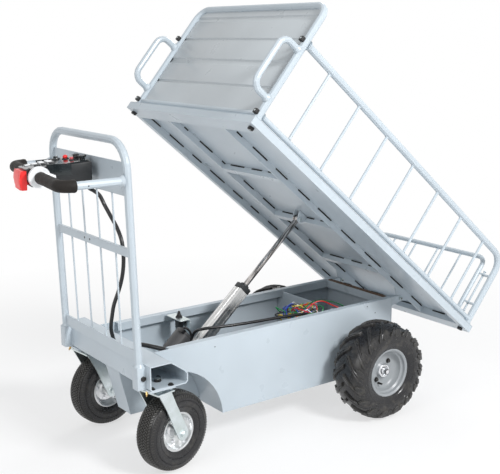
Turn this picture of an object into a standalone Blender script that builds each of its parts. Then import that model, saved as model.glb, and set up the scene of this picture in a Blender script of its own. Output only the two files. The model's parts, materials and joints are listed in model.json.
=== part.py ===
"""Electric platform cart with a powered tipping deck, standing with the deck raised.

Run in Blender 4.5: blender --background --python part.py
Metres, +Z up, +X from the handle end to the dumping end, +Y to the left of the operator.
The deck pieces are written where they lie with the deck down, and one pivot tips them.
"""
import math

import bmesh
import bpy
from mathutils import Matrix, Vector

# Clearances and sheet metal
GAP = 0.0003
RUNNING = 0.0005
SHEET = 0.0025
TUBE_R = 0.0127

# Tub: a folded box that everything is carried by
TUB_W = 0.378
TUB_TOP = 0.395
TUB_FLOOR = 0.120
TUB_FRONT = 0.0785
TUB_REAR = 1.147
RIM_FLANGE = 0.025
RIM_LIP = 0.030
ARCH_TOP = 0.302
ARCH_START = 0.205
ARCH_END = 0.347
ARCH_R = 0.205
KEEL_W = 0.090
KEEL_FLOOR = 0.136
KEEL_NOSE_TOP = 0.022
KEEL_NOSE_LOW = 0.066
PARTITION_X = 0.876

# Front cross channel that carries the casters and the handle
CHANNEL_W = 0.604
CHANNEL_DEPTH = 0.138
CHANNEL_FLAT = 0.078
CHANNEL_BOTTOM = 0.313
CHANNEL_SHOULDER = 0.352
CHANNEL_WALL = 0.0035

# Casters: 10.5 inch pneumatic wheels
CASTER_X = 0.062
CASTER_Y = 0.240
CASTER_YAW = math.radians(11.4)
CASTER_YAW_LEFT = math.radians(6.0)
CASTER_TRAIL = 0.058
CASTER_R = 0.1335
CASTER_TYRE_W = 0.085
CASTER_RIM_R = 0.066
CASTER_PLATE = (0.092, 0.098, 0.005)
CASTER_PLATE_AT = (0.046, 0.252)
CASTER_BOLT = (0.068, 0.078)
FORK_GAP = 0.006
FORK_T = 0.0045

# Rear drive wheels: 145/70-6 knobby tyres
REAR_X = 0.965
REAR_Y = 0.311
REAR_R = 0.1815
REAR_TYRE_W = 0.145
REAR_RIM_R = 0.089
AXLE_R = 0.010

# Deck, given as it lies when it is down
HINGE = Vector((1.2027, 0.0, 0.3815))
HINGE_INSET = 0.016
HINGE_Y = TUB_W / 2 - HINGE_INSET
TILT = math.radians(40.0)
DECK_FRONT = 0.047
DECK_REAR = 1.409
DECK_W = 0.780
DECK_BOTTOM = 0.3975
DECK_TOP = 0.4255
DECK_SHEET = 0.002
EDGE_TUBE = 0.025
END_TUBE = 0.060
STRINGER_T = 0.006
STRINGER_H = 0.023
CROSS_X = (0.404, 0.722, 1.045)
CROSS_FLANGE = 0.025

# Headboard at the deck's front end
HEAD_X = 0.072
HEAD_W = 0.735
HEAD_TOP = 0.877
HEAD_BEND = 0.050
PANEL_T = 0.0016
GRAB_R = 0.0115
GRAB_Z = (0.500, 0.690)
GRAB_X = -0.010

# Side guard along the right edge, and the rear gate that hangs on its rear post
GUARD_Y = -(HEAD_W / 2 - 0.0015)
GUARD_BEND = 0.060
GUARD_TOP = 0.7265
GUARD_LOW = 0.4455
GUARD_ROD_R = 0.005
GUARD_ROD_X = 0.2169
GUARD_ROD_STEP = 0.1722
GATE_TUBE_R = 0.0095
GATE_NEAR = GUARD_Y + 0.067
GATE_STEP = 0.126
GATE_TOP = 0.712
GATE_LOW = 0.454
GATE_ROD_R = 0.004
GATE_HINGE_Y = GUARD_Y + 0.036
GATE_PIN_R = 0.004

# Handle frame and its control bar
POST_Y = 0.2585
POST_X = -0.0135
HANDLE_LEAN = math.radians(1.65)
HANDLE_FOOT = 0.316
HANDLE_TOP = 1.092
HANDLE_BEND = 0.085
BAR_Z = 0.977
BAR_REACH = 0.246
BAR_BEND = 0.034
BAR_SKEW = math.radians(7.6)
GRIP_R = 0.0195
GRIP_REACH = 0.042
GRIP_END = 0.0712
INFILL_ROD_R = 0.003

# Tilt actuator: its pins, its stroke and its sections
ACT_PIN = Vector((0.700, 0.0, 0.397))
ACT_BASE = Vector((0.2745, 0.0, 0.2248))
ACT_TUBE = 0.044
ACT_TUBE_END = 0.385
ACT_CAP = 0.027
ACT_ROD_R = 0.010
PISTON_L = 0.020
PISTON_STOP = 0.015
ACT_MOTOR_R = 0.035
ACT_MOTOR_OFF = 0.075
ACT_MOTOR_END = 0.127

# Control head on the bar
HEAD_REAR = -0.060
HEAD_BODY_NOSE = -0.2425
HEAD_REAR_W = 0.170
HEAD_NOSE_W = 0.092
HEAD_REAR_Z = (0.957, 1.020)
HEAD_NOSE_Z = (0.945, 1.000)
PANEL_PLATE = 0.003
PAD_FRONT = -0.277
PAD_TRAVEL = 0.006
PAD_Z = (0.938, 0.996)
PAD_BACK = -0.2525
PAD_HALF = 0.036
BUTTON_RISE = {"stop_button": 0.0040, "horn_button": 0.0035, "speed_knob": 0.0006, "key_switch": 0.0006}

COLOURS = {
    "grey_paint": ((0.60, 0.67, 0.72), 0.35, 0.0),
    "zinc": ((0.62, 0.66, 0.68), 0.35, 0.9),
    "chrome": ((0.75, 0.75, 0.74), 0.12, 1.0),
    "aluminium": ((0.62, 0.63, 0.64), 0.38, 0.9),
    "tyre": ((0.018, 0.018, 0.020), 0.75, 0.0),
    "black_plastic": ((0.025, 0.027, 0.030), 0.45, 0.0),
    "foam": ((0.030, 0.030, 0.032), 0.80, 0.0),
    "red_plastic": ((0.70, 0.05, 0.05), 0.40, 0.0),
    "dark_metal": ((0.06, 0.06, 0.065), 0.40, 0.6),
}


def clear_scene():
    for item in list(bpy.data.objects):
        bpy.data.objects.remove(item, do_unlink=True)


def collection(name):
    made = bpy.data.collections.new(name)
    bpy.context.scene.collection.children.link(made)
    return made


clear_scene()
PARTS = collection("platform_cart")
CUTTERS = collection("cutters")


def paint(name):
    found = bpy.data.materials.get(name)
    if found:
        return found
    colour, rough, metal = COLOURS[name]
    made = bpy.data.materials.new(name)
    made.use_nodes = True
    shader = made.node_tree.nodes["Principled BSDF"]
    shader.inputs["Base Color"].default_value = (*colour, 1.0)
    shader.inputs["Roughness"].default_value = rough
    shader.inputs["Metallic"].default_value = metal
    return made


def pivot(name, at, parent=None, turn=None):
    """An empty on a joint's axis. What hangs on it is written where it lies before turn."""
    empty = bpy.data.objects.new(name, None)
    empty.empty_display_size = 0.05
    PARTS.objects.link(empty)
    empty["home"] = tuple(at)
    if parent:
        empty.parent = parent
        empty.location = Vector(at) - Vector(parent["home"])
    else:
        empty.location = at
    if turn:
        empty.rotation_euler = turn
    return empty


CART = pivot("cart", (0.0, 0.0, 0.0))
DECK = pivot("deck_pivot", HINGE, CART, (0.0, TILT, 0.0))
HANDLE = pivot("handle_foot", (POST_X, 0.0, CHANNEL_BOTTOM), CART, (0.0, -HANDLE_LEAN, 0.0))


def part(name, mesh, material, parent=None, smooth=0.0):
    parent = parent or CART
    made = bpy.data.objects.new(name, mesh)
    made.data.materials.append(paint(material))
    made.parent = parent
    made.location = -Vector(parent["home"])
    PARTS.objects.link(made)
    if smooth:
        mesh.shade_smooth()
        mesh.set_sharp_from_angle(angle=math.radians(smooth))
    return made


def tool(made):
    """Turn an object into a hidden operand of a Boolean."""
    for home in list(made.users_collection):
        home.objects.unlink(made)
    CUTTERS.objects.link(made)
    made.display_type = "WIRE"
    made.hide_render = True
    return made


def boolean(target, other, operation):
    tool(other)
    step = target.modifiers.new(operation.lower(), "BOOLEAN")
    step.operation = operation
    step.object = other
    step.solver = "EXACT"
    return target


def cut(target, *others):
    for other in others:
        boolean(target, other, "DIFFERENCE")
    return target


def weld(target, *others):
    for other in others:
        boolean(target, other, "UNION")
    return target


def shape(name, build, material="grey_paint", parent=None, smooth=0.0, move=None):
    """A part whose mesh is filled in by a function of a bmesh."""
    mesh = bpy.data.meshes.new(name)
    work = bmesh.new()
    build(work)
    if move:
        work.transform(move)
    bmesh.ops.recalc_face_normals(work, faces=work.faces)
    work.to_mesh(mesh)
    work.free()
    return part(name, mesh, material, parent, smooth)


def box(name, low, high, material="grey_paint", parent=None, bevel=0.0, move=None):
    size = Vector(high) - Vector(low)
    middle = (Vector(high) + Vector(low)) / 2

    def build(work):
        bmesh.ops.create_cube(work, size=1.0, matrix=Matrix.LocRotScale(middle, None, size))
        if bevel:
            bmesh.ops.bevel(work, geom=work.edges[:], offset=bevel, segments=2, profile=0.5,
                            affect="EDGES", clamp_overlap=True, material=-1)
    return shape(name, build, material, parent, 0.0, move)


def boxes(name, pairs):
    """Several boxes that stay apart from each other, in one cutter."""
    def build(work):
        for low, high in pairs:
            size = Vector(high) - Vector(low)
            middle = (Vector(high) + Vector(low)) / 2
            bmesh.ops.create_cube(work, size=1.0, matrix=Matrix.LocRotScale(middle, None, size))
    return shape(name, build)


def rod(name, start, end, radius, material="grey_paint", parent=None, sides=16, end_radius=None):
    start = Vector(start)
    end = Vector(end)
    along = end - start
    turn = along.to_track_quat("Z", "Y").to_matrix().to_4x4()
    matrix = Matrix.Translation((start + end) / 2) @ turn
    top = radius if end_radius is None else end_radius

    def build(work):
        bmesh.ops.create_cone(work, cap_ends=True, segments=sides, radius1=radius, radius2=top,
                              depth=along.length, matrix=matrix)
    return shape(name, build, material, parent, 40.0)


PLANES = {
    "XY": Matrix.Identity(4),
    "XZ": Matrix(((1, 0, 0, 0), (0, 0, -1, 0), (0, 1, 0, 0), (0, 0, 0, 1))),
    "YZ": Matrix(((0, 0, 1, 0), (1, 0, 0, 0), (0, 1, 0, 0), (0, 0, 0, 1))),
}
NORMALS = {"XY": Vector((0, 0, 1)), "XZ": Vector((0, 1, 0)), "YZ": Vector((1, 0, 0))}


def as_mesh(curve_object):
    """The evaluated curve as a mesh with its caps welded on."""
    graph = bpy.context.evaluated_depsgraph_get()
    mesh = bpy.data.meshes.new_from_object(curve_object.evaluated_get(graph))
    work = bmesh.new()
    work.from_mesh(mesh)
    bmesh.ops.remove_doubles(work, verts=work.verts, dist=0.00002)
    bmesh.ops.recalc_face_normals(work, faces=work.faces)
    work.to_mesh(mesh)
    work.free()
    curve = curve_object.data
    bpy.data.objects.remove(curve_object, do_unlink=True)
    bpy.data.curves.remove(curve)
    return mesh


def profile(name, outlines, plane, low, high, material="grey_paint", parent=None, move=None):
    """Flat outlines (the later ones are holes) drawn out from low to high across their plane."""
    curve = bpy.data.curves.new(name, "CURVE")
    curve.dimensions = "2D"
    curve.fill_mode = "BOTH"
    curve.extrude = (high - low) / 2
    for outline in outlines:
        spline = curve.splines.new("POLY")
        spline.points.add(len(outline) - 1)
        for point, (u, v) in zip(spline.points, outline):
            point.co = (u, v, 0.0, 1.0)
        spline.use_cyclic_u = True
    holder = bpy.data.objects.new(name, curve)
    PARTS.objects.link(holder)
    mesh = as_mesh(holder)
    middle = Matrix.Translation(NORMALS[plane] * (low + high) / 2)
    mesh.transform(middle @ PLANES[plane])
    if move:
        mesh.transform(move)
    return part(name, mesh, material, parent)


def arc(centre, radius, start, end, steps):
    """Points on an arc, with the angles in degrees."""
    turns = [math.radians(start + (end - start) * i / steps) for i in range(steps + 1)]
    return [(centre[0] + radius * math.cos(t), centre[1] + radius * math.sin(t)) for t in turns]


def rounded(points, radius, steps=5):
    """A route through 3D points with its inner corners rounded."""
    points = [Vector(p) for p in points]
    route = [points[0]]
    for before, corner, after in zip(points, points[1:], points[2:]):
        enter = (before - corner).normalized()
        leave = (after - corner).normalized()
        half = enter.angle(leave) / 2
        reach = radius / math.tan(half)
        middle = corner + (enter + leave).normalized() * radius / math.sin(half)
        first = corner + enter * reach - middle
        last = corner + leave * reach - middle
        for step in range(steps + 1):
            route.append(middle + first.slerp(last, step / steps).normalized() * radius)
    route.append(points[-1])
    return route


def tube(name, route, radius, material="grey_paint", parent=None, resolution=2, closed=False):
    curve = bpy.data.curves.new(name, "CURVE")
    curve.dimensions = "3D"
    curve.bevel_depth = radius
    curve.bevel_resolution = resolution
    curve.use_fill_caps = not closed
    spline = curve.splines.new("POLY")
    spline.points.add(len(route) - 1)
    for point, place in zip(spline.points, route):
        point.co = (*place, 1.0)
    spline.use_cyclic_u = closed
    holder = bpy.data.objects.new(name, curve)
    PARTS.objects.link(holder)
    return part(name, as_mesh(holder), material, parent, 40.0)


def smooth_route(points, per_span=5):
    """A smooth curve read at even steps through the points given."""
    points = [Vector(p) for p in points]
    ends = [points[0] * 2 - points[1], *points, points[-1] * 2 - points[-2]]
    route = []
    for a, b, c, d in zip(ends, ends[1:], ends[2:], ends[3:]):
        for step in range(per_span):
            t = step / per_span
            place = (b * 2 + (c - a) * t + (a * 2 - b * 5 + c * 4 - d) * t * t
                     + (b * 3 - a - c * 3 + d) * t * t * t) / 2
            route.append(place)
    route.append(points[-1])
    return route


def turned(name, outline, centre, axis, material, parent=None, steps=36, yaw=0.0):
    """A profile of (radius, along) points turned about an axis through centre."""
    mesh = bpy.data.meshes.new(name)
    count = len(outline)
    area = sum(a[0] * b[1] - b[0] * a[1] for a, b in zip(outline, [*outline[1:], outline[0]]))
    if area > 0:
        outline = outline[::-1]
    vertices = [(radius, 0.0, along) for radius, along in outline]
    mesh.from_pydata(vertices, [(i, (i + 1) % count) for i in range(count)], [])
    made = part(name, mesh, material, parent, 0.0)
    turn = Vector(axis).to_track_quat("Z", "Y")
    swing = Matrix.Rotation(yaw, 3, "Z").to_quaternion()
    made.rotation_mode = "QUATERNION"
    made.rotation_quaternion = swing @ turn
    made.location = Vector(centre) - Vector((parent or CART)["home"])
    screw = made.modifiers.new("turn", "SCREW")
    screw.axis = "Z"
    screw.steps = steps
    screw.render_steps = steps
    screw.use_merge_vertices = True
    screw.merge_threshold = 0.00005
    screw.use_smooth_shade = True
    return made


def tipped(point):
    """Where a point of the lowered deck lies once the deck is tipped."""
    away = Vector(point) - HINGE
    return HINGE + Matrix.Rotation(TILT, 3, "Y") @ away


def inset(outline, by):
    """A closed outline, given clockwise or not, moved inwards by one distance."""
    area = sum(a[0] * b[1] - b[0] * a[1] for a, b in zip(outline, [*outline[1:], outline[0]]))
    side = 1.0 if area > 0 else -1.0
    lines = []
    for a, b in zip(outline, [*outline[1:], outline[0]]):
        run = Vector((b[0] - a[0], b[1] - a[1])).normalized()
        inward = Vector((-run.y, run.x)) * side
        lines.append((Vector(a) + inward * by, run))
    moved = []
    for (p, u), (q, v) in zip([lines[-1], *lines[:-1]], lines):
        cross = u.x * v.y - u.y * v.x
        reach = ((q.x - p.x) * v.y - (q.y - p.y) * v.x) / cross
        moved.append(tuple(p + u * reach))
    return moved


def disc(centre, radius, steps=16):
    return arc(centre, radius, 0.0, 360.0 * (steps - 1) / steps, steps - 1)


# Front channel: a folded closed section open at both ends
CHANNEL = [(0.0, TUB_TOP), (CHANNEL_FLAT, TUB_TOP), (CHANNEL_DEPTH - 0.008, CHANNEL_SHOULDER + 0.006),
           (CHANNEL_DEPTH, CHANNEL_SHOULDER - 0.006), (CHANNEL_DEPTH, CHANNEL_BOTTOM + 0.008),
           (CHANNEL_DEPTH - 0.008, CHANNEL_BOTTOM), (0.006, CHANNEL_BOTTOM), (0.0, CHANNEL_BOTTOM + 0.006)]
PLATE_LOW = CHANNEL_BOTTOM - CASTER_PLATE[2]
STEM_R = 0.010
CABLE_R = 0.0065
CABLE_HOLE = Vector((0.0235, -0.018))

channel = profile("front_channel", [CHANNEL, inset(CHANNEL, CHANNEL_WALL)], "XZ",
                  -CHANNEL_W / 2, CHANNEL_W / 2)
for side in (-1, 1):
    plate_x, plate_y = CASTER_PLATE_AT[0], side * CASTER_PLATE_AT[1]
    low = (plate_x - CASTER_PLATE[0] / 2, plate_y - CASTER_PLATE[1] / 2, PLATE_LOW)
    high = (plate_x + CASTER_PLATE[0] / 2, plate_y + CASTER_PLATE[1] / 2, CHANNEL_BOTTOM + CHANNEL_WALL / 2)
    weld(channel, box("caster_plate", low, high))
    for across in (-1, 1):
        for along in (-1, 1):
            spot = (plate_x + along * CASTER_BOLT[0] / 2, plate_y + across * CASTER_BOLT[1] / 2)
            weld(channel, rod("bolt", (*spot, PLATE_LOW - 0.005), (*spot, CHANNEL_BOTTOM + 0.008),
                              0.0055, sides=6))
    cut(channel, rod("stem_hole", (CASTER_X, side * CASTER_Y, PLATE_LOW - 0.01),
                     (CASTER_X, side * CASTER_Y, CHANNEL_BOTTOM + 0.01), STEM_R + RUNNING))
cut(channel, rod("cable_hole", (*CABLE_HOLE, TUB_TOP - 0.02), (*CABLE_HOLE, TUB_TOP + 0.02), CABLE_R + 0.0015))

# Tub: side panels around the channel, arched floor, rear wall, keel, partition
INNER = TUB_W / 2 - SHEET
CHORD = Vector((ARCH_END - ARCH_START, TUB_FLOOR - ARCH_TOP))
ARCH_C = (Vector((ARCH_START + ARCH_END, ARCH_TOP + TUB_FLOOR)) / 2
          + Vector((CHORD.y, -CHORD.x)).normalized() * math.sqrt(ARCH_R ** 2 - CHORD.length ** 2 / 4))


def arch(offset, high, low, steps=18):
    """The wheel arch moved outwards by offset, between two heights."""
    radius = ARCH_R + offset
    start = math.degrees(math.asin((high - ARCH_C.y) / radius))
    end = math.degrees(math.asin((low - ARCH_C.y) / radius))
    return arc(ARCH_C, radius, start, end, steps)


AROUND = inset(CHANNEL, -GAP)
SIDE = [(TUB_FRONT, ARCH_TOP), *arch(0.0, ARCH_TOP, TUB_FLOOR), (TUB_REAR, TUB_FLOOR), (TUB_REAR, TUB_TOP),
        (AROUND[1][0] + 0.002, TUB_TOP), AROUND[2], AROUND[3], AROUND[4], AROUND[5],
        (TUB_FRONT, CHANNEL_BOTTOM - GAP)]
AXLE_R_TUBE = 0.016
for side, name in ((-1, "tub_side_right"), (1, "tub_side_left")):
    ends = sorted((side * INNER, side * TUB_W / 2))
    wall = profile(name, [SIDE], "XZ", *ends)
    lean = [(TUB_W / 2, TUB_TOP), (TUB_W / 2 - RIM_FLANGE, TUB_TOP), (TUB_W / 2 - RIM_FLANGE, TUB_TOP - RIM_LIP),
            (TUB_W / 2 - RIM_FLANGE + SHEET, TUB_TOP - RIM_LIP), (TUB_W / 2 - RIM_FLANGE + SHEET, TUB_TOP - SHEET),
            (TUB_W / 2 - SHEET / 2, TUB_TOP - SHEET)]
    rim = profile("rim", [[(side * y, z) for y, z in lean]], "YZ", CHANNEL_DEPTH + 0.002,
                  TUB_REAR - RIM_FLANGE - 0.002)
    weld(wall, rim)
    cut(wall, rod("axle_hole", (REAR_X, -0.25, REAR_R), (REAR_X, 0.25, REAR_R), AXLE_R_TUBE + GAP, sides=20))

FLAT_TOP = ARCH_TOP + SHEET
SLOT_W = KEEL_W / 2 - SHEET
FLOOR = [(TUB_FRONT, ARCH_TOP), *arch(0.0, ARCH_TOP, TUB_FLOOR), (TUB_REAR - SHEET - GAP, TUB_FLOOR),
         (TUB_REAR - SHEET - GAP, TUB_FLOOR + SHEET), *arch(SHEET, TUB_FLOOR + SHEET, FLAT_TOP),
         (TUB_FRONT, FLAT_TOP)]
floor = profile("tub_floor", [FLOOR], "XZ", -INNER + GAP, INNER - GAP)
cut(floor, box("slot", (0.150, -SLOT_W, 0.10), (ARCH_END + 0.004, SLOT_W, 0.40)))

EAR_T = 0.004
EAR_R = 0.0125
PIN_R = 0.005
EAR = [(TUB_REAR - SHEET / 2, HINGE.z - EAR_R - 0.012), *arc((HINGE.x, HINGE.z), EAR_R, -60, 90, 8),
       (TUB_REAR - SHEET / 2, HINGE.z + EAR_R)]
BACK = [(TUB_REAR, TUB_FLOOR), (TUB_REAR, TUB_TOP), (TUB_REAR - RIM_FLANGE, TUB_TOP),
        (TUB_REAR - RIM_FLANGE, TUB_TOP - RIM_LIP), (TUB_REAR - RIM_FLANGE + SHEET, TUB_TOP - RIM_LIP),
        (TUB_REAR - RIM_FLANGE + SHEET, TUB_TOP - SHEET), (TUB_REAR - SHEET, TUB_TOP - SHEET),
        (TUB_REAR - SHEET, TUB_FLOOR)]
back = profile("tub_rear_wall", [BACK], "XZ", -INNER + GAP, INNER - GAP)
for side in (-1, 1):
    for inner in (STRINGER_T / 2 + RUNNING, -STRINGER_T / 2 - RUNNING - EAR_T):
        low = side * HINGE_Y + inner
        weld(back, profile("ear", [EAR, disc((HINGE.x, HINGE.z), PIN_R + GAP, 12)], "XZ", low, low + EAR_T))

KEEL = [(KEEL_NOSE_TOP, CHANNEL_BOTTOM - GAP), (TUB_FRONT, CHANNEL_BOTTOM - GAP), (TUB_FRONT, ARCH_TOP - GAP),
        *arch(-GAP, ARCH_TOP - GAP, KEEL_FLOOR), (KEEL_NOSE_LOW, KEEL_FLOOR)]
keel = profile("tub_keel", [KEEL], "XZ", -KEEL_W / 2, KEEL_W / 2)
HOLLOW = [(KEEL_NOSE_TOP + SHEET, CHANNEL_BOTTOM + 0.02), (0.40, CHANNEL_BOTTOM + 0.02),
          (0.40, KEEL_FLOOR + SHEET), (KEEL_NOSE_LOW + SHEET, KEEL_FLOOR + SHEET)]
cut(keel, profile("keel_hollow", [HOLLOW], "XZ", -SLOT_W, SLOT_W))

wall = box("tub_partition", (PARTITION_X, -INNER + GAP, TUB_FLOOR + SHEET + GAP),
           (PARTITION_X + SHEET, INNER - GAP, TUB_TOP - 0.004))
NECK = INNER - RIM_FLANGE - 0.001
cut(wall, boxes("corners", [((0.80, side * (INNER + NECK) / 2 - 0.02, TUB_TOP - RIM_LIP - 0.002),
                             (0.95, side * (INNER + NECK) / 2 + 0.02, TUB_TOP + 0.01)) for side in (-1, 1)]),
    box("wire_notch", (0.80, -0.140, 0.318), (0.95, -0.060, 0.45)))

# Switch post inside the front of the tub
POST_TOP = 0.3915
POST_WEB = 0.376
POST_SPAN = (INNER - 0.1305, INNER - 0.0305)
FLANGE_L = 0.042
post = [(POST_WEB, TUB_FLOOR + SHEET + GAP), (POST_WEB, POST_TOP), (POST_WEB - FLANGE_L, POST_TOP),
        (POST_WEB - FLANGE_L, POST_TOP - SHEET), (POST_WEB - SHEET, POST_TOP - SHEET),
        (POST_WEB - SHEET, TUB_FLOOR + SHEET + GAP)]
profile("switch_post", [post], "XZ", *POST_SPAN, material="zinc")
SWITCH = Vector((POST_WEB - FLANGE_L / 2 + 0.002, sum(POST_SPAN) / 2 - 0.004, POST_TOP + GAP))
knob = rod("tilt_switch", SWITCH, SWITCH + Vector((0, 0, 0.010)), 0.0125, "black_plastic", sides=20)
weld(knob, box("lever", SWITCH + Vector((-0.011, -0.003, 0.008)), SWITCH + Vector((0.011, 0.003, 0.024)),
               bevel=0.0012))

# Batteries, controller, transaxle and wiring in the tub
BATTERY_GAP = 0.043
BATTERY_WALL = 0.0055
BATTERY = (0.228, INNER - BATTERY_WALL - BATTERY_GAP, 0.135)
BATTERY_X = 0.638
for side, name in ((-1, "battery_right"), (1, "battery_left")):
    near, far = sorted((side * BATTERY_GAP, side * (BATTERY_GAP + BATTERY[1])))
    base = TUB_FLOOR + SHEET + GAP
    pack = box(name, (BATTERY_X, near, base), (BATTERY_X + BATTERY[0], far, base + BATTERY[2]),
               "black_plastic", bevel=0.004)
    for along in (0.040, BATTERY[0] - 0.040):
        spot = (BATTERY_X + along, side * (BATTERY_GAP + 0.030), base + BATTERY[2] - 0.002)
        weld(pack, rod("terminal", spot, (spot[0], spot[1], spot[2] + 0.012), 0.008, sides=12))

CONTROLLER_Y = -INNER + 0.0215
CONTROLLER = ((0.430, CONTROLLER_Y, TUB_FLOOR + SHEET + GAP), (0.600, CONTROLLER_Y + 0.100, 0.188))
unit = box("motor_controller", *CONTROLLER, "aluminium", bevel=0.003)
for i in range(7):
    x = CONTROLLER[0][0] + 0.018 + i * 0.0225
    cut(unit, box("fin_gap", (x - 0.005, CONTROLLER_Y + 0.035, CONTROLLER[1][2] - 0.012),
                          (x + 0.005, CONTROLLER_Y + 0.115, CONTROLLER[1][2] + 0.012)))

HUB_IN = 0.2385
STUB_END = 0.3600
axle = rod("drive_axle", (REAR_X, -HUB_IN + 0.012, REAR_R), (REAR_X, HUB_IN - 0.012, REAR_R), AXLE_R_TUBE,
           "dark_metal", sides=20)
weld(axle, rod("stub", (REAR_X, -STUB_END, REAR_R), (REAR_X, STUB_END, REAR_R), AXLE_R, sides=20))
GEAR_R = 0.0560
MOTOR_C = Vector((1.062, 0.0, 0.256))
MOTOR_R = 0.045
case = rod("drive_motor", (REAR_X, -0.032, REAR_R), (REAR_X, 0.032, REAR_R), GEAR_R, "aluminium", sides=28)
weld(case, rod("motor_body", MOTOR_C + Vector((0, -0.150, 0)), MOTOR_C + Vector((0, 0.028, 0)), MOTOR_R,
               sides=24))
weld(case, profile("bridge", [[(REAR_X - 0.02, REAR_R + 0.045), (REAR_X + 0.035, REAR_R - 0.042),
                               (MOTOR_C.x + 0.030, MOTOR_C.z - 0.030), (MOTOR_C.x - 0.030, MOTOR_C.z + 0.030)]],
                   "XZ", -0.030, 0.030))
cut(case, rod("axle_bore", (REAR_X, -0.1, REAR_R), (REAR_X, 0.1, REAR_R), AXLE_R_TUBE + GAP, sides=20))
WIRES = [(0.520, -0.115, CONTROLLER[1][2] + 0.0085), (0.522, -0.116, 0.235), (0.560, -0.118, 0.300),
         (0.640, -0.118, 0.326), (0.760, -0.112, 0.336), (0.877, -0.100, 0.338), (0.960, -0.094, 0.342),
         (1.030, -0.092, 0.340), (MOTOR_C.x - 0.004, -0.090, MOTOR_C.z + MOTOR_R + 0.022),
         (MOTOR_C.x, -0.090, MOTOR_C.z + MOTOR_R + 0.0005)]
tube("wire_harness", smooth_route(WIRES, 4), 0.008, "black_plastic")


def wheel(side, names, centre, tyre_r, width, rim_r, hub, bore, axis, yaw=0.0, parent=None):
    """A pneumatic wheel: a pressed rim turned round a hub, and its tyre seated between the flanges."""
    seat = rim_r - 0.011
    half = width / 2 - 0.016
    disc_at = half * 0.35
    rim = [(bore, -hub), (bore + 0.009, -hub), (bore + 0.009, disc_at - 0.006), (seat - 0.005, disc_at - 0.004),
           (seat - 0.005, -half), (rim_r, -half - 0.004), (seat, -half + 0.004), (seat, half - 0.004),
           (rim_r, half + 0.004), (seat - 0.005, half), (seat - 0.005, disc_at + 0.004),
           (bore + 0.009, disc_at + 0.001), (bore + 0.009, hub), (bore, hub)]
    turned(names[0], rim, centre, axis, "grey_paint", parent, 28, yaw)
    bead = half - 0.004 - GAP * 2
    inside = seat + GAP
    shoulder = tyre_r - (tyre_r - rim_r) * 0.14
    tyre = [(inside, -bead), (rim_r + 0.002, -bead), (rim_r + 0.010, -half - 0.009),
            ((rim_r + tyre_r) / 2, -width / 2), (shoulder - 0.006, -width / 2 + 0.002),
            (shoulder + 0.004, -width / 2 + 0.010), (tyre_r, -width / 2 + 0.024)]
    turned(names[1], [*tyre, *[(r, -a) for r, a in reversed(tyre)]], centre, axis, "tyre", parent, 28, yaw)


REAR_HUB = 0.030
for side, tag in ((-1, "right"), (1, "left")):
    wheel(side, ("rear_rim_" + tag, "rear_tyre_" + tag), (REAR_X, side * REAR_Y, REAR_R), REAR_R, REAR_TYRE_W,
          REAR_RIM_R, REAR_HUB, AXLE_R + RUNNING, (0, side, 0))

# Casters: fork, axle bolt and wheel on a pivot that swivels
FORK_IN = CASTER_TYRE_W / 2 + FORK_GAP
FORK_OUT = FORK_IN + FORK_T
CROWN_Z = 0.2895
AXLE_BOLT_R = 0.006
FORK_FOOT_R = 0.0225
for side, tag, yaw in ((-1, "right", CASTER_YAW), (1, "left", CASTER_YAW_LEFT)):
    swivel = pivot("caster_swivel_" + tag, (CASTER_X, side * CASTER_Y, 0.0), CART, (0.0, 0.0, yaw))
    x = CASTER_X
    y = side * CASTER_Y
    axle_at = Vector((x + CASTER_TRAIL, y, CASTER_R))
    crown = box("caster_fork_" + tag, (x - 0.046, y - FORK_OUT, CROWN_Z), (x + 0.024, y + FORK_OUT, CROWN_Z + 0.005),
                "zinc", swivel)
    arm = [(x - 0.043, CROWN_Z + 0.004), (x + 0.010, CROWN_Z + 0.004), (x + 0.031, CROWN_Z - 0.046),
           *arc((axle_at.x, axle_at.z), FORK_FOOT_R, 25, -155, 10), (x - 0.012, CROWN_Z - 0.0535)]
    for low in (y - FORK_OUT, y + FORK_IN):
        weld(crown, profile("arm", [arm], "XZ", low, low + FORK_T, parent=swivel))
    weld(crown, rod("race", (x, y, CROWN_Z + 0.003), (x, y, PLATE_LOW - 0.0006), 0.025, parent=swivel, sides=24))
    weld(crown, rod("stem", (x, y, CROWN_Z + 0.002), (x, y, CHANNEL_BOTTOM + 0.016), STEM_R, parent=swivel))
    weld(crown, rod("axle", axle_at - Vector((0, FORK_OUT + 0.009, 0)), axle_at + Vector((0, FORK_OUT + 0.009, 0)),
                    AXLE_BOLT_R, parent=swivel))
    for way in (-1, 1):
        weld(crown, rod("nut", axle_at + Vector((0, way * (FORK_OUT - 0.001), 0)),
                        axle_at + Vector((0, way * (FORK_OUT + 0.006), 0)), 0.0105, parent=swivel, sides=6))
    wheel(side, ("caster_rim_" + tag, "caster_tyre_" + tag), axle_at, CASTER_R, CASTER_TYRE_W, CASTER_RIM_R,
          FORK_IN - RUNNING, AXLE_BOLT_R + RUNNING, (0, side, 0), 0.0, swivel)

# Handle frame on the channel's front face
for side, tag in ((-1, "right"), (1, "left")):
    y = side * POST_Y
    reach = TUBE_R + 0.0045
    low = HANDLE_FOOT - 0.002 + (0.004 if side > 0 else 0.0)
    sleeve = box("post_sleeve_" + tag, (POST_X - reach, y - reach, low), (-GAP, y + reach, low + 0.076), bevel=0.002)
    cut(sleeve, rod("post_hole", (POST_X, y, 0.25), (POST_X, y, 0.50), TUBE_R + GAP, parent=HANDLE, sides=16))
    outer = y + side * reach
    weld(sleeve, rod("bolt_head", (POST_X + 0.003, outer - side * 0.001, low + 0.038),
                     (POST_X + 0.003, outer + side * 0.005, low + 0.038), 0.0075, sides=6))

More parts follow.
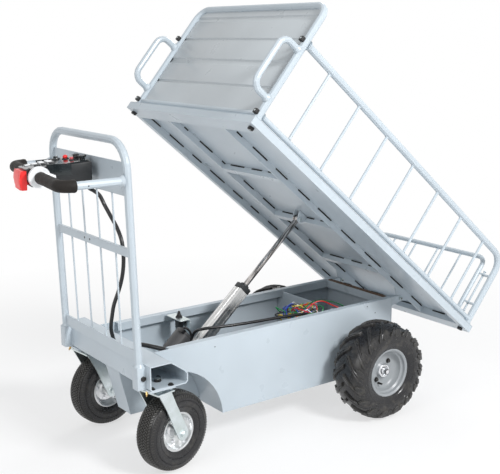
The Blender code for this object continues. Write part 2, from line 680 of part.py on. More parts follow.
posts = rounded([(POST_X, -POST_Y, HANDLE_FOOT), (POST_X, -POST_Y, HANDLE_TOP), (POST_X, POST_Y, HANDLE_TOP),
                 (POST_X, POST_Y, HANDLE_FOOT)], HANDLE_BEND, 7)
tube("handle_frame", posts, TUBE_R, parent=HANDLE, resolution=3)
SPAN = POST_Y - TUBE_R - GAP
ROD_Y = (-0.155, -0.052, 0.052, 0.155)
LOWER_BAR = (TUB_TOP + 0.002, TUB_TOP + 0.042)
MID_BAR = (0.737, 0.764)
PLATE_Z = (0.927, 1.030)
BEND_START = HANDLE_TOP - HANDLE_BEND
PLATE_IN = HANDLE_BEND - math.sqrt(HANDLE_BEND ** 2 - (PLATE_Z[1] - BEND_START) ** 2) + GAP * 3
plate_outline = [(-SPAN, PLATE_Z[0]), (SPAN, PLATE_Z[0]), (SPAN, BEND_START - 0.002), (SPAN - PLATE_IN, PLATE_Z[1]),
                 (-SPAN + PLATE_IN, PLATE_Z[1]), (-SPAN, BEND_START - 0.002)]
profile("handle_plate", [plate_outline], "YZ", POST_X - 0.0015, POST_X + 0.0015, parent=HANDLE)
box("handle_lower_bar", (POST_X - 0.003, -SPAN, LOWER_BAR[0]), (POST_X + 0.003, SPAN, LOWER_BAR[1]), parent=HANDLE)
infill = box("handle_infill", (POST_X - 0.0045, -SPAN, MID_BAR[0]), (POST_X + 0.0045, SPAN, MID_BAR[1]),
             parent=HANDLE)
for y in ROD_Y:
    weld(infill, rod("infill_rod", (POST_X, y, LOWER_BAR[1] + GAP), (POST_X, y, PLATE_Z[0] - GAP), INFILL_ROD_R,
                     parent=HANDLE, sides=10))
for y in (0.014, 0.051):
    z = sum(MID_BAR) / 2
    cut(infill, rod("bar_hole", (POST_X - 0.02, y, z), (POST_X + 0.02, y, z), 0.0035, parent=HANDLE, sides=10))

# Control bar, grips and control head: the bar stands askew, its far arm shorter than its near one
BAR_START = POST_X - (BAR_Z - CHANNEL_BOTTOM) * math.tan(HANDLE_LEAN) - TUBE_R - 0.0007
BAR_NEAR = Vector((-BAR_REACH, -POST_Y, BAR_Z))
BAR_FAR = Vector((-BAR_REACH + 2 * POST_Y * math.tan(BAR_SKEW), POST_Y, BAR_Z))
tube("control_bar", rounded([(BAR_START, -POST_Y, BAR_Z), BAR_NEAR, BAR_FAR, (BAR_START, POST_Y, BAR_Z)], BAR_BEND, 6),
     TUBE_R, parent=CART, resolution=3)
HEAD_AT = Vector((HEAD_REAR, -HEAD_REAR_W / 2, 0.0))
HEAD = pivot("control_head", HEAD_AT, CART, (0.0, 0.0, -BAR_SKEW))
HEAD_SPIN = Matrix.Translation(HEAD_AT) @ Matrix.Rotation(-BAR_SKEW, 4, "Z") @ Matrix.Translation(-HEAD_AT)
OFFSET = BAR_NEAR - HEAD_AT
BAR_X = HEAD_AT.x + (OFFSET.x - OFFSET.y * math.tan(BAR_SKEW)) * math.cos(BAR_SKEW)
for side, tag, corner in ((-1, "right", BAR_NEAR), (1, "left", BAR_FAR)):
    routes = []
    for inside in (0.0, 0.02):
        inner = HEAD_SPIN @ Vector((BAR_X, side * (GRIP_END - inside), BAR_Z))
        routes.append(rounded([corner + Vector((GRIP_REACH + inside, 0, 0)), corner, inner], BAR_BEND, 6))
    grip = tube("grip_" + tag, routes[0], GRIP_R, "foam", resolution=4)
    cut(grip, tube("grip_bore", routes[1], TUBE_R + 0.0005, resolution=3))

HEAD_SLOPE = math.atan2(HEAD_REAR_Z[1] - HEAD_NOSE_Z[1], HEAD_REAR - HEAD_BODY_NOSE)
HEAD_TOP_PIVOT = pivot("head_top", (HEAD_REAR, 0.0, HEAD_REAR_Z[1]), HEAD, (0.0, -HEAD_SLOPE, 0.0))


def head_shell(work):
    """A cube drawn out to the head's tapering box."""
    bmesh.ops.create_cube(work, size=2.0)
    for vertex in work.verts:
        rear = vertex.co.x > 0
        half = (HEAD_REAR_W if rear else HEAD_NOSE_W) / 2
        low, high = HEAD_REAR_Z if rear else HEAD_NOSE_Z
        vertex.co = Vector((HEAD_REAR if rear else HEAD_BODY_NOSE, math.copysign(half, vertex.co.y),
                            high if vertex.co.z > 0 else low))
    bmesh.ops.bevel(work, geom=work.edges[:], offset=0.005, segments=2, profile=0.5, affect="EDGES",
                    clamp_overlap=True, material=-1)


CLAMP_Y = -GRIP_END + 0.0006
CLAMP_W = 0.016
TONGUE = (0.0305, 0.0085, 0.040)
TONGUE_Z = BAR_Z - TUBE_R - 0.0095
shell = shape("head_housing", head_shell, "black_plastic", HEAD)
cut(shell, rod("bar_tunnel", (BAR_X, -0.12, BAR_Z), (BAR_X, 0.12, BAR_Z), TUBE_R + 0.0005, parent=HEAD, sides=20),
    box("clamp_seat", (BAR_X - 0.060, CLAMP_Y - 0.020, BAR_Z - 0.060),
        (BAR_X + 0.053, CLAMP_Y + CLAMP_W + GAP, BAR_Z + 0.060), parent=HEAD),
    box("tongue_pocket", (HEAD_BODY_NOSE - 0.02, -TONGUE[0] / 2 - RUNNING, TONGUE_Z - TONGUE[1] / 2 - RUNNING),
        (HEAD_BODY_NOSE + TONGUE[2], TONGUE[0] / 2 + RUNNING, TONGUE_Z + TONGUE[1] / 2 + RUNNING), parent=HEAD))
PANEL_TOP = HEAD_REAR_Z[1]
PANEL_SUNK = GAP
PANEL_X = (HEAD_REAR - 0.008, PAD_BACK - 0.0055)
panel_outline = [(PANEL_X[0], -0.078), (PANEL_X[0], 0.078), (PANEL_X[1], 0.040), (PANEL_X[1], -0.040)]
panel = profile("head_panel", [panel_outline], "XY", PANEL_TOP + PANEL_SUNK, PANEL_TOP + PANEL_SUNK + PANEL_PLATE,
                "black_plastic", HEAD_TOP_PIVOT)
DECK_Z = PANEL_TOP + PANEL_SUNK + PANEL_PLATE
WELL = 0.0110
CONTROLS = {
    "stop_button": (Vector((-0.111, 0.023, 0.0)), 0.0105, 0.0085, "red_plastic"),
    "horn_button": (Vector((-0.104, -0.019, 0.0)), 0.0080, 0.0055, "red_plastic"),
    "speed_knob": (Vector((-0.079, 0.012, 0.0)), 0.0105, 0.0110, "black_plastic"),
    "key_switch": (Vector((-0.136, 0.044, 0.0)), 0.0100, 0.0050, "dark_metal"),
}
for name, (at, radius, height, material) in CONTROLS.items():
    foot = at + Vector((0, 0, DECK_Z - WELL + 0.004))
    cap = rod(name, at + Vector((0, 0, DECK_Z + BUTTON_RISE[name])),
              at + Vector((0, 0, DECK_Z + BUTTON_RISE[name] + height)), radius, material, HEAD_TOP_PIVOT,
              sides=20, end_radius=radius * 0.88)
    weld(cap, rod("shank", foot, at + Vector((0, 0, DECK_Z + BUTTON_RISE[name] + height / 2)), 0.0045,
                  parent=HEAD_TOP_PIVOT, sides=12))
    for holed in (panel, shell):
        cut(holed, rod("well", at + Vector((0, 0, DECK_Z - WELL - BUTTON_RISE[name])),
                       at + Vector((0, 0, DECK_Z + 0.02)), 0.0045 + RUNNING, parent=HEAD_TOP_PIVOT, sides=16))
    if name == "key_switch":
        weld(cap, box("key_bow", at + Vector((-0.008, -0.0015, DECK_Z + 0.004)),
                      at + Vector((0.008, 0.0015, DECK_Z + 0.017)), parent=HEAD_TOP_PIVOT, bevel=0.0006))
ROCKER = Vector((-0.075, -0.038, 0.0))
ROCKER_H = 0.0085
ROCKER_Z = DECK_Z + ROCKER_H
rocker_outline = [(ROCKER.x - 0.011, ROCKER_Z - 0.0035), (ROCKER.x + 0.011, ROCKER_Z - 0.0035),
                  (ROCKER.x + 0.013, ROCKER_Z + 0.0040), (ROCKER.x, ROCKER_Z + 0.0015),
                  (ROCKER.x - 0.013, ROCKER_Z + 0.0040)]
rocker = profile("drive_rocker", [rocker_outline], "XZ", ROCKER.y - 0.006, ROCKER.y + 0.006, "black_plastic",
                 HEAD_TOP_PIVOT)
weld(rocker, rod("rocker_pin", ROCKER + Vector((0, -0.0095, ROCKER_Z - 0.001)),
                 ROCKER + Vector((0, 0.0095, ROCKER_Z - 0.001)), 0.0018, parent=HEAD_TOP_PIVOT, sides=10))
for way in (-1, 1):
    near, far = sorted((way * 0.0066, way * 0.0100))
    cheek = box("cheek", (ROCKER.x - 0.006, ROCKER.y + near, DECK_Z - 0.001),
                (ROCKER.x + 0.006, ROCKER.y + far, ROCKER_Z + 0.0025), parent=HEAD_TOP_PIVOT)
    weld(panel, cheek)
    cut(panel, rod("cheek_hole", ROCKER + Vector((0, way * 0.003, ROCKER_Z - 0.001)),
                   ROCKER + Vector((0, way * 0.012, ROCKER_Z - 0.001)), 0.0018 + GAP, parent=HEAD_TOP_PIVOT,
                   sides=10))

pad = box("reverse_pad", (PAD_FRONT, -PAD_HALF, PAD_Z[0]), (PAD_BACK, PAD_HALF, PAD_Z[1]), "red_plastic", HEAD,
          bevel=0.006)
weld(pad, box("tongue", (PAD_FRONT + 0.007, -TONGUE[0] / 2, TONGUE_Z - TONGUE[1] / 2),
              (HEAD_BODY_NOSE + TONGUE[2] - PAD_TRAVEL - 0.004, TONGUE[0] / 2, TONGUE_Z + TONGUE[1] / 2), parent=HEAD))

clamp_outline = [*arc((BAR_X, BAR_Z), 0.034, 20, 240, 16), (BAR_X + 0.012, BAR_Z - 0.034),
                 (BAR_X + 0.050, BAR_Z - 0.014), (BAR_X + 0.050, BAR_Z + 0.004)]
profile("head_clamp_right", [clamp_outline, disc((BAR_X, BAR_Z), TUBE_R + GAP + 0.0003, 20)], "XZ",
        CLAMP_Y, CLAMP_Y + CLAMP_W, "zinc", HEAD)

CABLE_TOP = HEAD_SPIN @ Vector((HEAD_REAR - 0.018, 0.010, 0.0))
cable = [(CABLE_TOP.x, CABLE_TOP.y, HEAD_REAR_Z[0] - 0.0020), (CABLE_TOP.x + 0.002, CABLE_TOP.y, HEAD_REAR_Z[0] - 0.018),
         (-0.062, 0.006, 0.924), (-0.034, -0.001, 0.908), (-0.008, -0.017, 0.894), (0.001, -0.040, 0.878),
         (0.005, -0.067, 0.848), (0.005, -0.111, 0.803), (0.005, -0.140, 0.762), (0.005, -0.146, 0.706),
         (0.005, -0.134, 0.652), (0.005, -0.107, 0.599), (0.005, -0.070, 0.542), (0.006, -0.050, 0.494),
         (0.010, -0.034, 0.462), (0.016, -0.024, 0.435), (CABLE_HOLE.x, CABLE_HOLE.y, 0.414),
         (CABLE_HOLE.x, CABLE_HOLE.y, 0.390), (CABLE_HOLE.x, CABLE_HOLE.y, 0.366)]
tube("control_cable", smooth_route(cable, 3), CABLE_R, "tyre")

# Tilt actuator: written along +X from its base pin, then turned up to the deck's pin
ACT_TIP = tipped(ACT_PIN)
ACT_LENGTH = (ACT_TIP - ACT_BASE).length
ACT_ANGLE = math.atan2(ACT_TIP.z - ACT_BASE.z, ACT_TIP.x - ACT_BASE.x)
ACTUATOR = pivot("actuator_base", ACT_BASE, CART, (0.0, -ACT_ANGLE, 0.0))
S0 = ACT_BASE.x
Z0 = ACT_BASE.z
GEAR = (0.017, 0.037)
LUG_W = 0.010
BASE_PIN_HALF = 0.0235
gear_outline = [*arc((-0.0, Z0), 0.0230, 180, 360, 8), *arc((0.0, Z0 + ACT_MOTOR_OFF), ACT_MOTOR_R + 0.001, 0, 180, 12)]
gearbox = profile("actuator_gearbox", [gear_outline], "YZ", S0 + GEAR[0], S0 + GEAR[1], "dark_metal", ACTUATOR)
lug = [*arc((S0, Z0), 0.013, 90, 270, 10), (S0 + GEAR[0] + 0.002, Z0 - 0.013), (S0 + GEAR[0] + 0.002, Z0 + 0.013)]
weld(gearbox, profile("lug", [lug], "XZ", -LUG_W, LUG_W, parent=ACTUATOR),
     rod("base_pin", (S0, -BASE_PIN_HALF, Z0), (S0, BASE_PIN_HALF, Z0), PIN_R, parent=ACTUATOR))
rod("actuator_motor", (S0 + GEAR[1] + GAP, 0, Z0 + ACT_MOTOR_OFF), (S0 + ACT_MOTOR_END, 0, Z0 + ACT_MOTOR_OFF),
    ACT_MOTOR_R, "dark_metal", ACTUATOR, sides=28)

half = ACT_TUBE / 2
barrel = box("actuator_tube", (S0 + GEAR[1] + GAP, -half, Z0 - half),
             (S0 + ACT_TUBE_END + ACT_CAP, half, Z0 + half), "aluminium", ACTUATOR, bevel=0.004)
BORE_R = 0.0165
START = S0 + GEAR[1] + 0.004
cut(barrel, rod("bore", (START, 0, Z0), (S0 + ACT_TUBE_END + 0.004, 0, Z0), BORE_R, parent=ACTUATOR, sides=20),
    rod("gland", (S0 + ACT_TUBE_END, 0, Z0), (S0 + ACT_TUBE_END + ACT_CAP + 0.02, 0, Z0), ACT_ROD_R + RUNNING,
        parent=ACTUATOR, sides=20))
TIP = S0 + ACT_LENGTH
EYE_R = 0.0145
EYE_HALF = 0.012
ROD_START = S0 + ACT_TUBE_END - PISTON_STOP - PISTON_L
ram = rod("actuator_rod", (ROD_START, 0, Z0), (TIP - EYE_R * 0.6, 0, Z0), ACT_ROD_R, "chrome", ACTUATOR,
          sides=20)
weld(ram, rod("piston", (ROD_START, 0, Z0), (ROD_START + PISTON_L, 0, Z0), BORE_R - RUNNING,
              parent=ACTUATOR, sides=20),
     profile("eye", [[*arc((TIP, Z0), EYE_R, -150, 150, 14)]], "XZ", -EYE_HALF, EYE_HALF, parent=ACTUATOR))
CLEVIS_R = 0.006
cut(ram, rod("eye_hole", (TIP, -0.03, Z0), (TIP, 0.03, Z0), CLEVIS_R + RUNNING, parent=ACTUATOR, sides=20))

KEEL_TOP = KEEL_FLOOR + SHEET + GAP
BRACKET_IN = BASE_PIN_HALF + RUNNING
BRACKET_T = 0.004
seat = box("actuator_bracket", (S0 - 0.030, -BRACKET_IN - BRACKET_T, KEEL_TOP),
           (S0 + 0.030, BRACKET_IN + BRACKET_T, KEEL_TOP + 0.004), "zinc")
ear = [(S0 - 0.028, KEEL_TOP + 0.001), (S0 + 0.028, KEEL_TOP + 0.001), *arc((S0, Z0), 0.015, 0, 180, 8)]
for low in (-BRACKET_IN - BRACKET_T, BRACKET_IN):
    weld(seat, profile("ear", [ear], "XZ", low, low + BRACKET_T))

# Deck, written as it lies when down and tipped by its pivot
FRAME_TOP = DECK_TOP - DECK_SHEET - GAP
HALF_W = DECK_W / 2


def rectangle(x0, x1, y0, y1):
    return [(x0, y0), (x1, y0), (x1, y1), (x0, y1)]


box("deck_sheet", (DECK_FRONT, -HALF_W, DECK_TOP - DECK_SHEET), (DECK_REAR, HALF_W, DECK_TOP), parent=DECK)
hole = rectangle(DECK_FRONT + END_TUBE, DECK_REAR - END_TUBE, -HALF_W + EDGE_TUBE, HALF_W - EDGE_TUBE)
under = profile("deck_underframe", [rectangle(DECK_FRONT, DECK_REAR, -HALF_W, HALF_W), hole], "XY", DECK_BOTTOM,
                FRAME_TOP, parent=DECK)
LUG_R = 0.0125
STRINGER_LOW = FRAME_TOP - STRINGER_H
LUG_REACH = 0.050
STRINGER_TOP = FRAME_TOP - 0.0003
CROSS_TOP = STRINGER_TOP - 0.0003
stringer = [(DECK_FRONT + END_TUBE - 0.004, STRINGER_TOP), (DECK_FRONT + END_TUBE - 0.004, STRINGER_LOW),
            (HINGE.x - LUG_REACH, STRINGER_LOW + 0.0005), *arc((HINGE.x, HINGE.z), LUG_R, 215, 325, 8),
            (HINGE.x + LUG_REACH, STRINGER_LOW - 0.0005), (DECK_REAR - END_TUBE + 0.004, STRINGER_LOW - 0.0005),
            (DECK_REAR - END_TUBE + 0.004, STRINGER_TOP)]
for side in (-1, 1):
    low = side * HINGE_Y - STRINGER_T / 2
    weld(under, profile("stringer", [stringer, disc((HINGE.x, HINGE.z), PIN_R + RUNNING, 16)], "XZ", low,
                        low + STRINGER_T, parent=DECK))
CROSS_LOW = STRINGER_LOW + 0.0005
CROSS_END = HINGE_Y - STRINGER_T / 2 + 0.001
for x in CROSS_X:
    member = [(x, CROSS_TOP), (x, CROSS_LOW), (x + CROSS_FLANGE, CROSS_LOW), (x + CROSS_FLANGE, CROSS_LOW + 0.003),
              (x + 0.003, CROSS_LOW + 0.003), (x + 0.003, CROSS_TOP)]
    weld(under, profile("cross_member", [member], "XZ", -CROSS_END, CROSS_END, parent=DECK))
CLEVIS_IN = EYE_HALF + RUNNING
CLEVIS_T = 0.005
clevis_ear = [(CROSS_X[1] + 0.001, CROSS_TOP - 0.001), (ACT_PIN.x - 0.024, CROSS_TOP - 0.001),
              *arc((ACT_PIN.x, ACT_PIN.z), 0.014, 180, 330, 8), (CROSS_X[1] + 0.001, CROSS_LOW + 0.001)]
for low in (-CLEVIS_IN - CLEVIS_T, CLEVIS_IN):
    weld(under, profile("clevis_ear", [clevis_ear, disc((ACT_PIN.x, ACT_PIN.z), CLEVIS_R + GAP, 16)], "XZ", low,
                        low + CLEVIS_T, parent=DECK))
PIN_HALF = CLEVIS_IN + CLEVIS_T + 0.004
pin = rod("clevis_pin", ACT_PIN - Vector((0, PIN_HALF, 0)), ACT_PIN + Vector((0, PIN_HALF, 0)), CLEVIS_R,
          "zinc", DECK, sides=20)
weld(pin, rod("head", ACT_PIN + Vector((0, CLEVIS_IN + CLEVIS_T + GAP, 0)), ACT_PIN + Vector((0, PIN_HALF, 0)),
              0.009, parent=DECK, sides=20))
for side, tag in ((-1, "right"), (1, "left")):
    reach = STRINGER_T / 2 + RUNNING + EAR_T
    at = Vector((HINGE.x, side * HINGE_Y, HINGE.z))
    made = rod("hinge_pin_" + tag, at - Vector((0, reach + 0.003, 0)), at + Vector((0, reach + 0.003, 0)), PIN_R,
               "zinc", sides=20)
    for way in (-1, 1):
        weld(made, rod("head", at + Vector((0, way * (reach + GAP), 0)), at + Vector((0, way * (reach + 0.004), 0)),
                       PIN_R + 0.003, sides=20))

# Headboard
UPRIGHT_Y = HEAD_W / 2
FOOT = DECK_TOP + GAP
hoop = rounded([(HEAD_X, -UPRIGHT_Y, FOOT), (HEAD_X, -UPRIGHT_Y, HEAD_TOP), (HEAD_X, UPRIGHT_Y, HEAD_TOP),
                (HEAD_X, UPRIGHT_Y, FOOT)], HEAD_BEND, 6)
hoop = tube("headboard_tube", hoop, TUBE_R, parent=DECK, resolution=3)
HEAD_BAR_Z = 0.446
HEAD_BAR_R = 0.0095
weld(hoop, rod("foot_bar", (HEAD_X, -UPRIGHT_Y, HEAD_BAR_Z), (HEAD_X, UPRIGHT_Y, HEAD_BAR_Z), HEAD_BAR_R,
               parent=DECK, sides=12))
LOW_Z = HEAD_BAR_Z + HEAD_BAR_R + GAP
HIGH_Z = HEAD_TOP - TUBE_R - GAP
SIDE_Y = UPRIGHT_Y - TUBE_R - GAP
CORNER_R = HEAD_BEND - TUBE_R - GAP
CREASES = ((0.547, 0.006), (0.641, 0.012), (0.739, 0.006), (0.830, 0.012))
CREASE_DEEP = 0.004
front_line = [(HEAD_X, LOW_Z)]
for z, wide in CREASES:
    front_line += [(HEAD_X, z - wide), (HEAD_X + CREASE_DEEP, z - wide + 0.003),
                   (HEAD_X + CREASE_DEEP, z + wide - 0.003), (HEAD_X, z + wide)]
front_line.append((HEAD_X, HIGH_Z))
sheet_line = [*front_line, *[(x + PANEL_T, z) for x, z in reversed(front_line)]]
board = profile("headboard_panel", [sheet_line], "XZ", -SIDE_Y, SIDE_Y, parent=DECK)
kept = [(-SIDE_Y - 0.001, LOW_Z - 0.001), (SIDE_Y + 0.001, LOW_Z - 0.001),
        *arc((SIDE_Y - CORNER_R, HIGH_Z - CORNER_R), CORNER_R, 0, 90, 6),
        *arc((-SIDE_Y + CORNER_R, HIGH_Z - CORNER_R), CORNER_R, 90, 180, 6)]
boolean(board, profile("board_outline", [kept], "YZ", HEAD_X - 0.02, HEAD_X + 0.03, parent=DECK), "INTERSECT")
for side, tag in ((-1, "right"), (1, "left")):
    root = HEAD_X - TUBE_R - GAP
    y = side * UPRIGHT_Y
    grab = rounded([(root, y, GRAB_Z[0]), (GRAB_X, y, GRAB_Z[0]), (GRAB_X, y, GRAB_Z[1]), (root, y, GRAB_Z[1])],
                   0.035, 5)
    tube("headboard_handle_" + tag, grab, GRAB_R, parent=DECK, resolution=3)

# Side guard on the right edge
GUARD_X = HEAD_X + TUBE_R + GAP
GUARD_POST = DECK_REAR - TUBE_R
rail = rounded([(GUARD_X, GUARD_Y, GUARD_TOP), (GUARD_POST, GUARD_Y, GUARD_TOP), (GUARD_POST, GUARD_Y, FOOT)],
               GUARD_BEND, 6)
guard = tube("side_guard", rail, TUBE_R, parent=DECK, resolution=3)
weld(guard, rod("low_rail", (GUARD_X, GUARD_Y, GUARD_LOW), (GUARD_POST, GUARD_Y, GUARD_LOW), HEAD_BAR_R,
                parent=DECK, sides=12))
for i in range(7):
    x = GUARD_ROD_X + i * GUARD_ROD_STEP
    weld(guard, rod("guard_rod", (x, GUARD_Y, GUARD_LOW), (x, GUARD_Y, GUARD_TOP), GUARD_ROD_R, parent=DECK,
                    sides=10))
GATE_X = 1.389
HINGE_PLATES = (0.508, 0.637)
PLATE_T = 0.004
for z in HINGE_PLATES:
    plate = box("hinge_plate", (GATE_X - 0.009, GUARD_Y + 0.004, z - PLATE_T / 2),
                (GATE_X + 0.009, GATE_HINGE_Y + 0.009, z + PLATE_T / 2), parent=DECK)
    weld(guard, plate)
    cut(guard, rod("plate_hole", (GATE_X, GATE_HINGE_Y, z - 0.01), (GATE_X, GATE_HINGE_Y, z + 0.01),
                   GATE_PIN_R + RUNNING, parent=DECK, sides=16))

# Rear gate, closed across the dumping end
GATE = pivot("gate_hinge", (GATE_X, GATE_HINGE_Y, 0.5), DECK)
GATE_FAR = -GATE_NEAR
MIDDLE_Y = (GATE_NEAR + GATE_FAR) / 2
loop = rounded([(GATE_X, MIDDLE_Y, GATE_LOW), (GATE_X, GATE_FAR, GATE_LOW), (GATE_X, GATE_FAR, GATE_TOP),
                (GATE_X, GATE_NEAR, GATE_TOP), (GATE_X, GATE_NEAR, GATE_LOW), (GATE_X, MIDDLE_Y, GATE_LOW)],
               0.034, 5)
gate = tube("rear_gate", loop[:-1], GATE_TUBE_R, parent=GATE, resolution=3, closed=True)
for i in range(4):
    y = GATE_NEAR + (i + 1) * GATE_STEP
    weld(gate, rod("gate_rod", (GATE_X, y, GATE_LOW), (GATE_X, y, GATE_TOP), GATE_ROD_R, parent=GATE, sides=10))
weld(gate, rod("gate_pin", (GATE_X, GATE_HINGE_Y, 0.473), (GATE_X, GATE_HINGE_Y, 0.652), GATE_PIN_R, parent=GATE,
               sides=16))
for z in HINGE_PLATES:
    low = z + PLATE_T / 2 + GAP
    weld(gate, box("tab", (GATE_X - 0.003, GATE_HINGE_Y - 0.001, low), (GATE_X + 0.003, GATE_NEAR, low + PLATE_T),
                   parent=GATE))

# The origin is on the floor under the middle of the whole cart
FAR_CORNER = tipped((DECK_REAR, 0.0, GUARD_TOP))
CART.location = (-(PAD_FRONT + FAR_CORNER.x) / 2, 0.0, 0.0)
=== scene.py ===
"""Electric platform cart with its tipping deck raised, finished for rendering.

Run in Blender 4.5. Metres, +Z up, +X from the handle end to the dumping end, +Y to the left.
Each operator finishes one piece or group of pieces. Pieces on the deck are written with the deck
down and turned about its hinge, as the cart is tipped.
"""

import json
import math
import random

import bmesh
import bpy
from bpy.props import FloatProperty, FloatVectorProperty, IntProperty, PointerProperty
from mathutils import Matrix, Vector


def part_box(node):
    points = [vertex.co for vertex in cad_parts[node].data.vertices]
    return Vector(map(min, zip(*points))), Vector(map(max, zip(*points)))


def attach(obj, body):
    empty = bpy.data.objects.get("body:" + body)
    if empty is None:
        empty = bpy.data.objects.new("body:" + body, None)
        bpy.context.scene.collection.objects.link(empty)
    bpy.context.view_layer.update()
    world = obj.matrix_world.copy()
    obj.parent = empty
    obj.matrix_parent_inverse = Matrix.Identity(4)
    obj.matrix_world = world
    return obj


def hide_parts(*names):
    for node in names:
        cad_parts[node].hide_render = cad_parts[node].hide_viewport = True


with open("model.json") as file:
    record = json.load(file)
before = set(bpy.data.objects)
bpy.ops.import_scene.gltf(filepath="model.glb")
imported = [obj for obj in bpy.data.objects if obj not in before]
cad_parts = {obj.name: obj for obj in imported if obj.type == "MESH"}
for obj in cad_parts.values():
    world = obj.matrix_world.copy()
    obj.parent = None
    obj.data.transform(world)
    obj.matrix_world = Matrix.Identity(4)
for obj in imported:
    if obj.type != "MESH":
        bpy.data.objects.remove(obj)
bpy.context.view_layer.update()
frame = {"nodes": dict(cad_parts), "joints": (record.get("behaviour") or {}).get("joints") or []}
NODES = frame["nodes"]
JOINTS = {joint["name"]: joint for joint in frame["joints"]}

bl_info = {
    "name": "Platform cart finish",
    "version": (1, 0, 0),
    "blender": (4, 5, 0),
    "location": "3D View > Sidebar > Cart",
    "description": "Finishes and details of an electric platform cart with a tipping deck",
    "category": "Object",
}


def moved(x, y, z):
    return Matrix.Translation((x, y, z))


# Frames that pieces are written in. X = 0 is the front face of the cross channel, where the handle stands.
# DECK lies as it does with the deck down, HANDLE upright, HEAD straight ahead before the control bar was set
# askew, HEAD_TOP on the sloping panel, and ACTUATOR along +X from its base pin.
HINGE = Vector((1.2027, 0.0, 0.3815))
CART = Matrix.Translation(Vector(JOINTS["deck_tilt"]["pos_m"]) - HINGE)
TILT = math.radians(-JOINTS["deck_tilt"]["range_deg"][0])
DECK = CART @ Matrix.Translation(HINGE) @ Matrix.Rotation(TILT, 4, "Y") @ Matrix.Translation(-HINGE)
POST_LEAN = math.radians(1.65)
HANDLE = CART @ moved(-0.0135, 0, 0.313) @ Matrix.Rotation(-POST_LEAN, 4, "Y") @ moved(0.0135, 0, -0.313)
HEAD_CORNER = Vector((-0.06, -0.085, 0.0))
SKEW = Vector((1.0, 0.0, 0.0)).rotation_difference(Vector(JOINTS["reverse_press"]["axis"])).to_matrix().to_4x4()
HEAD_TURN = Matrix.Translation(HEAD_CORNER) @ SKEW @ Matrix.Translation(-HEAD_CORNER)
HEAD = CART @ HEAD_TURN
HEAD_LENGTH = 0.1825
HEAD_TOP = HEAD @ moved(-0.06, 0, 1.0233) @ Matrix.Rotation(-math.atan2(0.02, HEAD_LENGTH), 4, "Y")
STROKE = Vector(JOINTS["actuator_stroke"]["axis"])
ACTUATOR = CART @ moved(0.2745, 0, 0.2248) @ Matrix.Rotation(-math.atan2(STROKE.z, STROKE.x), 4, "Y")

# Places and sizes that several pieces share
SIDES = (-1, 1)     # right and left
TUBE = 0.0127       # radius of the frame tube
WELD_SIDES = 8      # flats round a weld run
POST_X, POST_Y = -0.0135, 0.2585
BAR_Z = 0.977       # control bar
TUB_SKIN = 0.1893   # outside of the tub, from the middle
EAR_Y = 0.173       # hinge ears
TUBE_Y = 0.3675     # headboard tube
GUARD_Y = -0.366    # side guard
GATE_X = 1.389
SHEET_UNDER = 0.4207
STRINGERS = ((-0.176, -1), (0.17, -1), (-0.17, 1), (0.176, 1))      # faces of the stringers, and which way each faces
CROSS_MEMBERS = (0.404, 0.722, 1.045)


def node_size(name):
    low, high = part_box(name)
    return Vector(high) - Vector(low)


class CartFinish(bpy.types.PropertyGroup):
    """Colours and wear of the cart."""
    paint: FloatVectorProperty(name="Paint", description="Powder coat on the steel", subtype="COLOR", size=3,
        min=0, max=1, default=(0.50, 0.565, 0.615))
    zinc: FloatVectorProperty(name="Zinc", description="Plating on forks, bolts and brackets", subtype="COLOR",
        size=3, min=0, max=1, default=(0.70, 0.76, 0.78))
    rubber: FloatVectorProperty(name="Rubber", description="Tyres", subtype="COLOR", size=3, min=0, max=1,
        default=(0.010, 0.010, 0.012))
    pad: FloatVectorProperty(name="Reverse pad", description="Red plastic of the pad", subtype="COLOR", size=3,
        min=0, max=1, default=(0.86, 0.028, 0.026))
    wear: FloatProperty(name="Wear", description="How far paint and plating are marked", subtype="FACTOR",
        min=0, max=1, default=0.35)


class RearTyreSizes(bpy.types.PropertyGroup):
    """Tread of the two rear tyres."""
    lugs: IntProperty(name="Lugs", description="Lugs along each shoulder", min=8, max=32, default=16)
    lug_height: FloatProperty(name="Lug height", description="Height of a lug over the carcass", unit="LENGTH",
        min=0.003, max=0.014, default=0.0085)
    lug_width: FloatProperty(name="Lug width", description="Width of a lug at its top", unit="LENGTH",
        min=0.006, max=0.025, default=0.014)
    dish: FloatProperty(name="Dish", description="Depth of the rim's disc behind its lip", unit="LENGTH",
        min=0.02, max=0.05, default=0.042)


class CasterTyreSizes(bpy.types.PropertyGroup):
    """Tread of the two caster tyres."""
    blocks: IntProperty(name="Blocks", description="Blocks round each row", min=40, max=160, default=84)
    rows: IntProperty(name="Rows", description="Rows of blocks across the tread", min=3, max=9, default=7)
    depth: FloatProperty(name="Groove depth", description="Depth between the blocks", unit="LENGTH",
        min=0.001, max=0.005, default=0.003)


class WiringSettings(bpy.types.PropertyGroup):
    """Loose wires in the tub."""
    loops: IntProperty(name="Loops", description="Loops of each colour", min=1, max=12, default=7)
    seed: IntProperty(name="Arrangement", description="Number of the arrangement of the loops", min=0, max=999,
        default=11)


class GripSettings(bpy.types.PropertyGroup):
    """Foam grips and the cable of the control head."""
    grip: FloatProperty(name="Grip radius", description="Radius of the foam sleeves", unit="LENGTH",
        min=0.015, max=0.022, default=0.0193)
    cable: FloatProperty(name="Cable radius", description="Radius of the control cable", unit="LENGTH",
        min=0.004, max=0.0066, default=0.0064)


